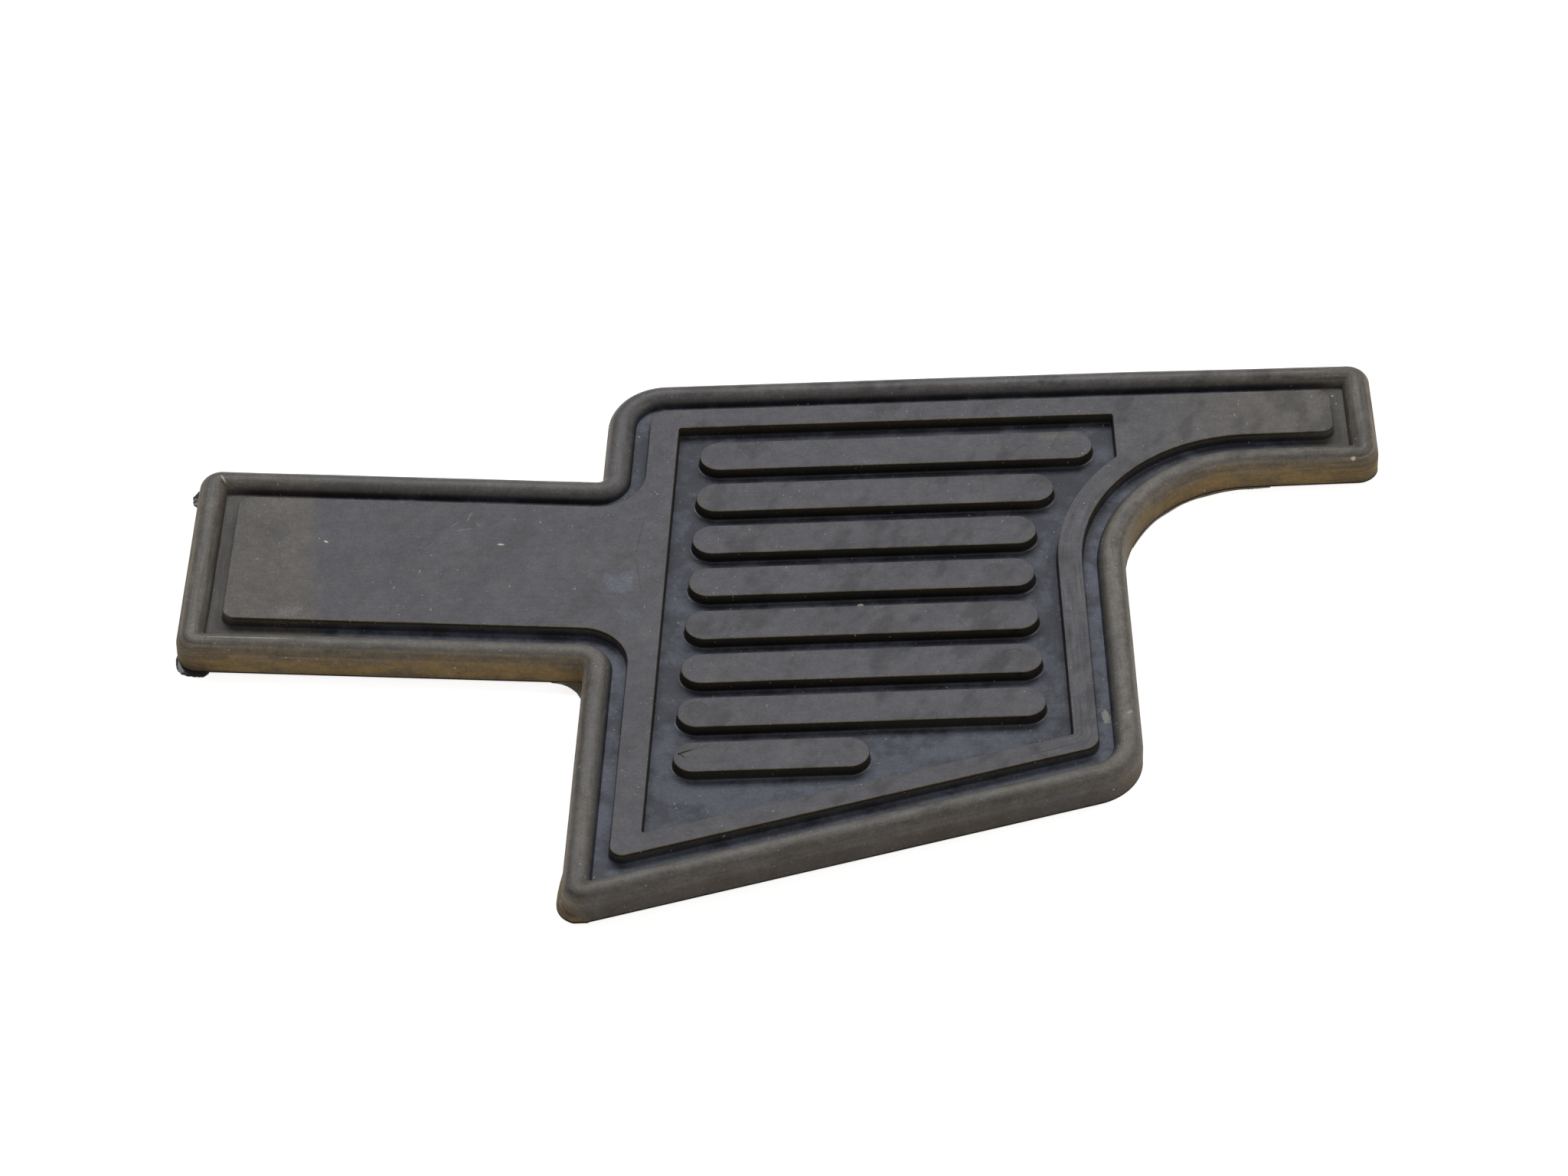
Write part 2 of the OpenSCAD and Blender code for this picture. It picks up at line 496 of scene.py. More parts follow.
@dataclass(frozen=True)
class Layout:
    """The sizes that the CAD model is drawn to, in mm and radians."""

    body_w: float = 100.0
    body_h: float = 114.0
    left_lean: float = math.radians(5.1)
    foot_slope: float = math.radians(15.1)
    large_corner_r: float = 12.0
    small_corner_r: float = 4.5
    arm_reach: float = 52.6
    arm_depth: float = 30.0
    arm_fillet_r: float = 26.2
    tongue_l: float = 80.4
    tongue_w: float = 51.7
    tongue_drop: float = 27.5
    tongue_root_r: float = 1.0
    total_h: float = 7.0
    bead_w: float = 5.8
    channel_w: float = 2.8
    relief_h: float = 2.4
    field_corner_r: float = 2.5
    far_strip_w: float = 5.4
    left_strip_w: float = 5.9
    right_strip_w: float = 4.9
    foot_strip_w: float = 4.7
    rib_pitch: float = 12.0
    rib_w: float = 8.0
    rib_gap: float = 4.6
    rib_count: int = 8
    plate_t: float = 2.0
    skirt_w: float = 3.0
    plate_corner_r: float = 3.0
    flash_t: float = 0.4
    flash_root_r: float = 6.5
    # The middle of the underside, as seen from the drawing's far left corner.
    middle: tuple[float, float] = (32.932, -71.4678)

    @property
    def field_inset(self) -> float:
        """Returns the distance from the wall to the raised field."""
        return self.bead_w + self.channel_w

    @property
    def floor_z(self) -> float:
        """Returns the height of the channel's and the pocket's floor."""
        return self.total_h - self.relief_h

    @property
    def bead_z(self) -> float:
        """Returns the height of the middle of the bead's half-round."""
        return self.total_h - self.bead_w / 2

    @property
    def lean_down(self) -> Vector:
        """Returns the direction of the left side, towards the user."""
        return Vector((-math.sin(self.left_lean), -math.cos(self.left_lean)))

    @property
    def foot_dir(self) -> Vector:
        """Returns the direction of the near edge, from left to right."""
        return Vector((math.cos(self.foot_slope), math.sin(self.foot_slope)))

    def centred(self, p: Vector, r: float) -> Corner:
        """Returns a corner, moved so that the middle of the underside is the origin."""
        return Corner(p.x - self.middle[0], p.y - self.middle[1], r)

    def outline(self, root_r: float) -> Loop:
        """Draws the outer outline.

        Args:
            root_r: The radius of the two corners at the tongue's root.

        Returns:
            The outline, with its corners in the order of At.
        """
        down, out = self.lean_down, Vector((self.lean_down.y, -self.lean_down.x))
        foot_right = Vector((self.body_w, -self.body_h))
        root_far = down * self.tongue_drop
        root_near = root_far + down * self.tongue_w
        reach = self.body_w + self.arm_reach
        return Loop((
            self.centred(Vector((0.0, 0.0)), self.large_corner_r),
            self.centred(root_far, root_r),
            self.centred(root_far + out * self.tongue_l, self.small_corner_r),
            self.centred(root_near + out * self.tongue_l, self.small_corner_r),
            self.centred(root_near, root_r),
            self.centred(
                crossing(Vector((0.0, 0.0)), down, foot_right, self.foot_dir),
                self.small_corner_r,
            ),
            self.centred(foot_right, self.large_corner_r),
            self.centred(Vector((self.body_w, -self.arm_depth)), self.arm_fillet_r),
            self.centred(Vector((reach, -self.arm_depth)), self.small_corner_r),
            self.centred(Vector((reach, 0.0)), self.small_corner_r),
        ))

    @property
    def arm_centre(self) -> Vector:
        """Returns the centre of the arm's fillet."""
        return Vector((self.body_w + self.arm_fillet_r, -self.arm_depth - self.arm_fillet_r))

    @property
    def pocket_arc_r(self) -> float:
        """Returns the radius of the pocket's curve along the arm."""
        return self.arm_fillet_r + self.field_inset + self.right_strip_w

    @property
    def pocket_left(self) -> Vector:
        """Returns a point on the pocket's left side."""
        return Vector(((self.field_inset + self.left_strip_w) / math.cos(self.left_lean), 0.0))

    @property
    def pocket_foot(self) -> Vector:
        """Returns a point on the pocket's near side."""
        rise = (self.field_inset + self.foot_strip_w) / math.cos(self.foot_slope)
        return Vector((self.body_w, rise - self.body_h))

    @property
    def pocket_far_y(self) -> float:
        """Returns the y of the pocket's far side."""
        return -self.field_inset - self.far_strip_w

    @property
    def pocket_right_x(self) -> float:
        """Returns the x of the pocket's right side."""
        return self.body_w - self.field_inset - self.right_strip_w

    def pocket(self, corner_r: float, arc_steps: int = 24) -> Loop:
        """Draws the outline of the sunken pocket.

        Args:
            corner_r: The radius of its sharp corners.
            arc_steps: The number of steps of the curve along the arm.

        Returns:
            The outline.
        """
        left, foot, down = self.pocket_left, self.pocket_foot, self.lean_down
        along, up = Vector((1.0, 0.0)), Vector((0.0, 1.0))
        far = Vector((0.0, self.pocket_far_y))
        right = Vector((self.pocket_right_x, 0.0))
        end = math.acos((self.arm_centre.x - self.body_w) / self.pocket_arc_r)
        arc = [
            self.arm_centre + self.pocket_arc_r * Vector((-math.cos(a), math.sin(a)))
            for a in (end * k / arc_steps for k in range(arc_steps + 1))
        ]
        return Loop((
            self.centred(crossing(far, along, left, down), corner_r),
            self.centred(crossing(left, down, foot, self.foot_dir), corner_r),
            self.centred(crossing(right, up, foot, self.foot_dir), corner_r),
            *(self.centred(p, 0.0) for p in arc[:-1]),
            self.centred(arc[-1], corner_r),
            self.centred(Vector((self.body_w, self.pocket_far_y)), corner_r),
        ))

    def rib_rows(self) -> list[tuple[float, float, float]]:
        """Places the ribs.

        Returns:
            The x of the centres of each rib's round ends, and its y.
        """
        room = self.rib_gap + self.rib_w / 2
        rows = []
        for k in range(self.rib_count):
            y = self.pocket_far_y - room - k * self.rib_pitch
            start = self.pocket_left.x + room / math.cos(self.left_lean)
            start += y * math.tan(self.left_lean)
            ends = [(self.body_w if y > self.arm_centre.y else self.pocket_right_x) - room]
            rise, reach = y - self.arm_centre.y, self.pocket_arc_r + room
            if 0.0 < rise < reach:
                ends.append(self.arm_centre.x - math.sqrt(reach**2 - rise**2))
            low = y - self.pocket_foot.y - room / math.cos(self.foot_slope)
            ends.append(self.pocket_foot.x + low / math.tan(self.foot_slope))
            rows.append((start - self.middle[0], min(ends) - self.middle[0], y - self.middle[1]))
        return rows


LAYOUT = Layout()


@dataclass(frozen=True)
class Sag:
    """How the real moulding strays from its drawing, in mm, after years of use.

    Attributes:
        arm_from: The x from which the arm is slimmer than drawn.
        arm_end: The x at which it is slimmest.
        arm_half: Half of its depth.
        arm_mid_y: The y of its middle.
        arm_pinch: How far each side has drawn in at its end.
        tongue_from: The x from which the tongue is shorter than drawn.
        tongue_end: The x at which it is drawn in most.
        tongue_short: How far its end has drawn in.
        ripple: The depth of the wide waves in the surface.
        ripple_size: How wide they are.
        ripple_seed: What sets them apart from the dimples.
        dimple: The depth of the small dimples.
        dimple_size: How wide they are.
        dimple_seed: What sets them apart from the waves.
        flat_below: The height below which the surface stays flat.
    """

    arm_from: float = 67.0
    arm_end: float = 119.67
    arm_half: float = 15.0
    arm_mid_y: float = 56.5
    arm_pinch: float = 0.5
    tongue_from: float = -45.0
    tongue_end: float = -119.67
    tongue_short: float = 0.4
    ripple: float = 0.09
    ripple_size: float = 14.0
    ripple_seed: float = 3.1
    dimple: float = 0.025
    dimple_size: float = 3.5
    dimple_seed: float = 8.6
    flat_below: float = 0.3

    def settle(self, p: Vector) -> Vector:
        """Moves a point in plan: the arm is slimmer and the tongue shorter than drawn.

        Args:
            p: The point, in mm.

        Returns:
            Where it comes to lie.
        """
        arm = smooth(self.arm_from, self.arm_end, p.x)
        off = max(-1.0, min(1.0, (p.y - self.arm_mid_y) / self.arm_half))
        tongue = smooth(self.tongue_from, self.tongue_end, p.x)
        return Vector((p.x + tongue * self.tongue_short, p.y - arm * self.arm_pinch * off, p.z))

    def sink(self, p: Vector, normal: Vector) -> Vector:
        """Presses a point in along its normal, by the rubber's unevenness.

        Args:
            p: The point, in mm.
            normal: The surface's normal there.

        Returns:
            Where it comes to lie.
        """
        if p.z < self.flat_below:
            return p
        depth = self.ripple * unevenness(p, self.ripple_size, self.ripple_seed)
        depth += self.dimple * unevenness(p, self.dimple_size, self.dimple_seed)
        return p - normal * depth


SAG = Sag()


# --------------------------------------------------------------------------- mesh helpers


def lattice(rings: Sequence[Sequence[Vector]], spacing: float) -> list[Vector]:
    """Spreads points over a flat region, clear of its edges.

    Args:
        rings: The outer ring, and then the rings of its holes.
        spacing: The distance between the points, in mm.

    Returns:
        The points.
    """
    edge_points = [p for ring in rings for p in ring]
    xs, ys = [p.x for p in rings[0]], [p.y for p in rings[0]]
    rows = int((max(ys) - min(ys)) / spacing) + 1
    columns = int((max(xs) - min(xs)) / spacing) + 2
    added = []
    for row in range(rows):
        for column in range(columns):
            x = min(xs) + (column + 0.5 * (row % 2)) * spacing
            p = Vector((x, min(ys) + (row + 0.5) * spacing))
            near = min((p - q).length_squared for q in edge_points)
            if near < (EDGE_ROOM * spacing) ** 2 or not inside(p, rings[0]):
                continue
            if not any(inside(p, hole) for hole in rings[1:]):
                added.append(p)
    return added


def fill(rings: Sequence[Sequence[Vector]], spacing: float) -> tuple[list[Vector], list[tuple]]:
    """Fills a flat region with triangles.

    Args:
        rings: The outer ring, and then the rings of its holes.
        spacing: The distance between points inside it, in mm, or 0 for none.

    Returns:
        The points added inside, and the triangles, whose indices count through the
        rings' points in order and then through the added ones.
    """
    edge_points = [p.copy() for ring in rings for p in ring]
    edges, first = [], 0
    for ring in rings:
        n = len(ring)
        edges += [(first + k, first + (k + 1) % n) for k in range(n)]
        first += n
    added = lattice(rings, spacing) if spacing else []
    points = edge_points + added
    _, _, faces, origins, _, _ = delaunay_2d_cdt(points, edges, [], 0, MERGE_MM, True)
    triangles = [tuple(origins[i][0] for i in face) for face in faces]
    return added, held(triangles, {frozenset(edge) for edge in edges})


def held(triangles: Sequence[tuple], walls: set[frozenset]) -> list[tuple]:
    """Picks the triangles that lie inside walls.

    Args:
        triangles: Triangles that fill the hull of all the points.
        walls: The edges of the region, as pairs of points.

    Returns:
        The triangles that an odd number of walls parts from the outside.
    """
    beside: dict[frozenset, list[int]] = {}
    for t, corners in enumerate(triangles):
        for pair in zip(corners, (*corners[1:], corners[0])):
            beside.setdefault(frozenset(pair), []).append(t)
    edge, first = next((e, ts[0]) for e, ts in beside.items() if len(ts) == 1)
    within = {first: edge in walls}
    queue = [first]
    while queue:
        t = queue.pop()
        corners = triangles[t]
        for pair in map(frozenset, zip(corners, (*corners[1:], corners[0]))):
            for other in beside[pair]:
                if other not in within:
                    within[other] = within[t] != (pair in walls)
                    queue.append(other)
    return [corners for t, corners in enumerate(triangles) if within[t]]


def finish_mesh(obj: bpy.types.Object, sharp: float = 35.0) -> None:
    """Turns a mesh's faces outwards, smooths it and marks its sharp edges.

    Args:
        obj: The object, whose mesh is closed.
        sharp: The angle above which an edge is sharp, in degrees.
    """
    bm = bmesh.new()
    bm.from_mesh(obj.data)
    bmesh.ops.remove_doubles(bm, verts=bm.verts, dist=MERGE_M)
    bmesh.ops.recalc_face_normals(bm, faces=bm.faces)
    open_edges = sum(1 for e in bm.edges if len(e.link_faces) != 2)
    limit = math.radians(sharp)
    for face in bm.faces:
        face.smooth = True
    for edge in bm.edges:
        edge.smooth = len(edge.link_faces) != 2 or edge.calc_face_angle(0.0) < limit
    bm.to_mesh(obj.data)
    bm.free()
    if open_edges:
        LOG.warning("%s has %d open edges", obj.name, open_edges)


def new_object(name: str, points: Iterable[Vector], faces: Sequence[tuple]) -> bpy.types.Object:
    """Puts a new mesh object in the scene.

    Args:
        name: Its name.
        points: Its points, in mm.
        faces: Its faces, by the numbers of their points.

    Returns:
        The object.
    """
    mesh = bpy.data.meshes.new(name)
    mesh.from_pydata([tuple(p * MM) for p in points], [], faces)
    mesh.update()
    obj = bpy.data.objects.new(name, mesh)
    bpy.context.scene.collection.objects.link(obj)
    return obj


def hand_over(obj: bpy.types.Object, material: bpy.types.Material) -> None:
    """Gives a rubber piece its material and ties it to the frame in place of its CAD node.

    Args:
        obj: The piece.
        material: What it is made of.
    """
    if not obj.data.materials:
        obj.data.materials.append(material)
    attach(obj, "root")
    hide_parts("tread_pad")


# --------------------------------------------------------------------------- the moulding


@dataclass(frozen=True)
class Station:
    """One ring of the moulding's section.

    Attributes:
        inset: Its distance inwards from the wall, in mm.
        z: Its height, in mm.
        least: The smallest radius of its outer corners, in mm.
        wall: How far it belongs to the outer wall, from 0 to 1.
        bead: How far it belongs to the bead's crown, from 0 to 1.
    """

    inset: float
    z: float
    least: float = 0.3
    wall: float = 0.0
    bead: float = 0.0

    def distance(self, other: "Station") -> float:
        """Returns the distance to another ring, across the section."""
        return math.hypot(self.inset - other.inset, self.z - other.z)


@dataclass(frozen=True)
class Wear:
    """How use has left one side of the outline, from 0 to 1.

    Attributes:
        dust: How dusty its wall is.
        rub: How light its crown is rubbed.
    """

    dust: float
    rub: float


@dataclass
class PadBody:
    """The rubber moulding without its ribs: bead, channel, raised field and pocket.

    Attributes:
        layout: The sizes that it is drawn to.
        arc_step: The largest angle of one step of a corner, in degrees.
        spacing: The largest distance between points on a side, in mm.
        bead_steps: The number of steps of the bead's half-round.
        round_steps: The number of steps of the wall's rounded foot and of a rounded edge.
        hollow_steps: The number of steps of a rounded foot inside.
        foot_r: The radius of the wall's foot.
        edge_r: The radius of the raised field's edge.
        hollow_r: The radius at the foot of the walls inside.
        draft: How far the walls inside lean.
        brace: How far the flat starts from a rounding.
        recess_edge: The bevel of the recess's edge.
        wall_heights: The heights of the rings on the outer wall.
        channel_parts: Where the rings on the channel's floor lie, as parts of its width.
        dust_end: The parts of the bead's rise where the wall's dust has ended and is full.
        crown_start: The parts of the bead's rise between which its crown comes in.
        pocket_corner_r: The radius of the pocket's sharp corners.
        grid: The distance between points on the flats, in mm.
        wear: The wear of each side, from the corner of the same number in At.
        points: The points so far, in mm.
        faces: The faces so far.
        marks: What each point carries: across, dust, crown and rub.
        rim: The raised field's edge, in plan.
    """

    layout: Layout = LAYOUT
    arc_step: float = 5.0
    spacing: float = 2.5
    bead_steps: int = 18
    round_steps: int = 4
    hollow_steps: int = 3
    foot_r: float = 0.35
    edge_r: float = 0.28
    hollow_r: float = 0.3
    draft: float = 0.12
    brace: float = 0.15
    recess_edge: float = 0.1
    wall_heights: tuple[float, ...] = (1.1, 2.0, 2.9, 3.6)
    channel_parts: tuple[float, ...] = (0.3, 0.65)
    dust_end: tuple[float, float] = (0.94, 0.5)
    crown_start: tuple[float, float] = (0.3, 0.75)
    pocket_corner_r: float = 0.45
    grid: float = 3.0
    wear: tuple[Wear, ...] = (
        Wear(0.3, 0.0),
        Wear(0.35, 0.15),
        Wear(0.75, 0.35),
        Wear(1.0, 0.75),
        Wear(0.4, 0.5),
        Wear(0.17, 0.6),
        Wear(0.3, 1.0),
        Wear(0.85, 1.0),
        Wear(0.7, 0.5),
        Wear(0.25, 0.1),
    )
    points: list[Vector] = field(default_factory=list)
    faces: list[tuple] = field(default_factory=list)
    marks: list[tuple[float, float, float, float]] = field(default_factory=list)
    rim: list[Vector] = field(default_factory=list)

    def section(self) -> list[Station]:
        """Draws the section from the plate's recess to the edge of the raised field.

        Returns:
            Its rings, in order.
        """
        size = self.layout
        half = size.bead_w / 2
        foot = math.asin((size.floor_z - size.bead_z) / half)
        rings = [
            Station(size.skirt_w, size.plate_t, size.plate_corner_r),
            Station(size.skirt_w, self.recess_edge, size.plate_corner_r),
            Station(size.skirt_w - self.recess_edge, 0.0, size.plate_corner_r),
        ]
        for k in range(self.round_steps + 1):
            a = math.pi / 2 * k / self.round_steps
            low = self.foot_r * (1 - math.sin(a))
            rings.append(Station(low, self.foot_r * (1 - math.cos(a)), wall=1.0))
        rings += [Station(0.0, z, wall=1.0) for z in self.wall_heights]
        for k in range(self.bead_steps + 1):
            a = (math.pi - foot) * k / self.bead_steps
            rings.append(Station(
                half - half * math.cos(a),
                size.bead_z + half * math.sin(a),
                wall=smooth(*self.dust_end, math.sin(a)) if a < math.pi / 2 else 0.0,
                bead=smooth(*self.crown_start, math.sin(a)),
            ))
        channel = size.field_inset - self.hollow_r - self.draft - self.brace
        for part in self.channel_parts:
            start = rings[-1].inset
            rings.append(Station(start + (channel - start) * part, size.floor_z, 1.0))
        rings += self.step_up(size.field_inset, 1.0, size.field_corner_r)
        return rings

    def step_up(self, edge: float, way: float, least: float) -> list[Station]:
        """Makes the rings of a wall from a floor up to the raised field.

        Args:
            edge: The inset of the wall's top edge, measured the way it faces.
            way: 1 where the field lies further inwards, -1 where it lies outwards.
            least: The smallest radius of its outer corners.

        Returns:
            The rings, from the floor to the field.
        """
        size = self.layout
        low, high = size.floor_z, size.total_h
        rings = [(edge - way * (self.draft + self.hollow_r + self.brace), low)]
        for k in range(self.hollow_steps + 1):
            a = math.pi / 2 * k / self.hollow_steps
            back = self.draft + self.hollow_r * (1 - math.sin(a))
            rings.append((edge - way * back, low + self.hollow_r * (1 - math.cos(a))))
        for k in range(self.round_steps + 1):
            a = math.pi / 2 * k / self.round_steps
            back = -self.edge_r * (1 - math.cos(a))
            rings.append((edge - way * back, high - self.edge_r * (1 - math.sin(a))))
        rings.append((edge + way * (self.edge_r + self.brace), high))
        return [Station(d, z, least) for d, z in rings]

    def loft(
        self, loop: Loop, rings: Sequence[Station], sides: Sequence[tuple[float, float]] = ()
    ) -> int:
        """Adds the rings of a section carried round a loop.

        Args:
            loop: The loop that the insets are measured from.
            rings: The rings, in order.
            sides: How dusty the outer wall and how rubbed the crown is at each point.

        Returns:
            The index of the last ring's first point.
        """
        plan = loop.plan(self.arc_step, self.spacing)
        base = loop.points(plan)
        count, start = len(base), len(self.points)
        starts = [0.0] * count
        if not sides:
            sides = [(0.0, 0.0)] * count
            length = sum(a.distance(b) for a, b in zip(rings, rings[1:]))
            starts = [self.depth_at(p) - length for p in base]
        across = 0.0
        for j, ring in enumerate(rings):
            if j:
                across += ring.distance(rings[j - 1])
            for k, p in enumerate(loop.inset(ring.inset, ring.least).points(plan)):
                self.points.append(Vector((p.x, p.y, ring.z)))
                dust, rub = sides[k]
                self.marks.append(
                    (starts[k] + across, ring.wall * dust, ring.bead, ring.bead * rub)
                )
        for j in range(len(rings) - 1):
            for k in range(count):
                a, b = start + j * count + k, start + j * count + (k + 1) % count
                self.faces.append((a, b, b + count, a + count))
        return start + (len(rings) - 1) * count

    def depth_at(self, p: Vector) -> float:
        """Measures how far inside the raised field's edge a point lies.

        Args:
            p: The point, in plan.

        Returns:
            Its distance from the edge, in mm.
        """
        least = math.inf
        for a, b in zip(self.rim, [*self.rim[1:], self.rim[0]]):
            along = b - a
            t = min(1.0, max(0.0, (p - a).dot(along) / along.length_squared))
            least = min(least, (p - a - along * t).length_squared)
        return math.sqrt(least)

    @staticmethod
    def spread(values: Sequence[float], plan: Sequence[tuple[int, int]]) -> list[float]:
        """Blends the values of the outline's sides round its corners.

        Args:
            values: The value of each side.
            plan: How finely the outline is divided.

        Returns:
            The value at each point of the outline.
        """
        weights = []
        for i, (steps, parts) in enumerate(plan):
            here, before = values[i], values[i - 1]
            weights += [before + (here - before) * k / max(1, steps) for k in range(steps + 1)]
            weights += [here] * (parts - 1)
        return weights

    def ring_at(self, first: int, count: int) -> list[Vector]:
        """Returns the plan of a ring of points that is already made."""
        return [Vector((p.x, p.y)) for p in self.points[first:first + count]]

    def cap(self, firsts: Sequence[tuple[int, int]], z: float, spacing: float) -> None:
        """Fills the flat face between rings of points that are already made.

        Args:
            firsts: Each ring's first point and its number of points, the outer ring first.
            z: The height of the face.
            spacing: The distance between points inside it, or 0 for none.
        """
        rings = [self.ring_at(first, count) for first, count in firsts]
        added, triangles = fill(rings, spacing)
        index = [first + k for first, count in firsts for k in range(count)]
        index += range(len(self.points), len(self.points) + len(added))
        self.points += [Vector((p.x, p.y, z)) for p in added]
        self.marks += [(self.depth_at(p), 0.0, 0.0, 0.0) for p in added]
        self.faces += [tuple(index[i] for i in t) for t in triangles]

    def build(self) -> bpy.types.Object:
        """Makes the moulding.

        Returns:
            One closed mesh, with its attributes.
        """
        size = self.layout
        outline = size.outline(size.tongue_root_r)
        plan = outline.plan(self.arc_step, self.spacing)
        count = len(outline.points(plan))
        rings = self.section()
        dust = self.spread([side.dust for side in self.wear], plan)
        rub = self.spread([side.rub for side in self.wear], plan)
        field_edge = self.loft(outline, rings, list(zip(dust, rub)))
        self.rim = self.ring_at(field_edge, count)
        reach = self.marks[field_edge][0]
        self.marks = [(across - reach, *rest) for across, *rest in self.marks]
        self.cap([(0, count)], size.plate_t, 0.0)
        pocket = size.pocket(self.pocket_corner_r)
        pocket_count = len(pocket.points(pocket.plan(self.arc_step, self.spacing)))
        floor = len(self.points)
        pocket_edge = self.loft(pocket, self.step_up(0.0, -1.0, self.pocket_corner_r))
        self.cap([(field_edge, count), (pocket_edge, pocket_count)], size.total_h, self.grid)
        self.cap([(floor, pocket_count)], size.floor_z, self.grid)
        obj = new_object("pad_body", self.points, self.faces)
        self.lay_attributes(obj)
        finish_mesh(obj)
        self.age(obj)
        return obj

    def lay_attributes(self, obj: bpy.types.Object) -> None:
        """Stores what the rubber's finish needs at each point of the mesh.

        Args:
            obj: The moulding.
        """
        for slot, name in enumerate(("across", "dust", "crown", "rub")):
            layer = obj.data.attributes.new(name, "FLOAT", "POINT")
            layer.data.foreach_set("value", [mark[slot] for mark in self.marks])

    @staticmethod
    def age(obj: bpy.types.Object) -> None:
        """Presses the unevenness of old rubber into a mesh.

        Args:
            obj: The piece.
        """
        normals = [v.normal.copy() for v in obj.data.vertices]
        for vertex, normal in zip(obj.data.vertices, normals):
            p = SAG.sink(vertex.co / MM, normal)
            vertex.co = SAG.settle(p) * MM
        obj.data.update()


# --------------------------------------------------------------------------- the ribs


@dataclass(frozen=True)
class Slit:
    """A tear in the top of a rib, V-shaped in section, in mm.

    Attributes:
        start: Where it starts, in plan.
        end: Where it ends.
        start_width: Its width at the start, on the rib's top.
        end_width: Its width at the end.
        depth: Its depth.
    """

    start: tuple[float, float]
    end: tuple[float, float]
    start_width: float
    end_width: float
    depth: float

    def cutter(self, top: float) -> bpy.types.Object:
        """Makes the wedge that cuts the tear.

        Args:
            top: The height of the face that it cuts into, in mm.

        Returns:
            The wedge.
        """
        start, end = Vector(self.start), Vector(self.end)
        across = Vector((start.y - end.y, end.x - start.x)).normalized()
        points = []
        for at, width in ((start, self.start_width), (end, self.end_width)):
            for side in (-1.0, 1.0):
                p = at + across * side * width
                points.append(Vector((p.x, p.y, top + self.depth)))
            points.append(Vector((at.x, at.y, top - self.depth)))
        return new_object("cutter", points, [
            (0, 1, 2), (3, 5, 4), (0, 3, 4, 1), (1, 4, 5, 2), (2, 5, 3, 0),
        ])


@dataclass(frozen=True)
class PinMark:
    """A shallow round mark that a mould's pin left in the top of a rib, in mm.

    Attributes:
        x: The x of its middle.
        y: The y of its middle.
        r: Its radius.
        depth: Its depth.
        sides: The number of sides of the disc that cuts it.
        over: How far that disc stands above the rib.
    """

    x: float
    y: float
    r: float = 2.4
    depth: float = 0.04
    sides: int = 40
    over: float = 1.0

    def cutter(self, top: float) -> bpy.types.Object:
        """Makes the disc that cuts the mark.

        Args:
            top: The height of the face that it cuts into, in mm.

        Returns:
            The disc.
        """
        points = [
            Vector((self.x + self.r * math.cos(a), self.y + self.r * math.sin(a), z))
            for z in (top - self.depth, top + self.over)
            for a in (2 * math.pi * k / self.sides for k in range(self.sides))
        ]
        n = self.sides
        faces = [(k, (k + 1) % n, n + (k + 1) % n, n + k) for k in range(n)]
        faces += [tuple(range(n))[::-1], tuple(range(n, 2 * n))]
        return new_object("cutter", points, faces)


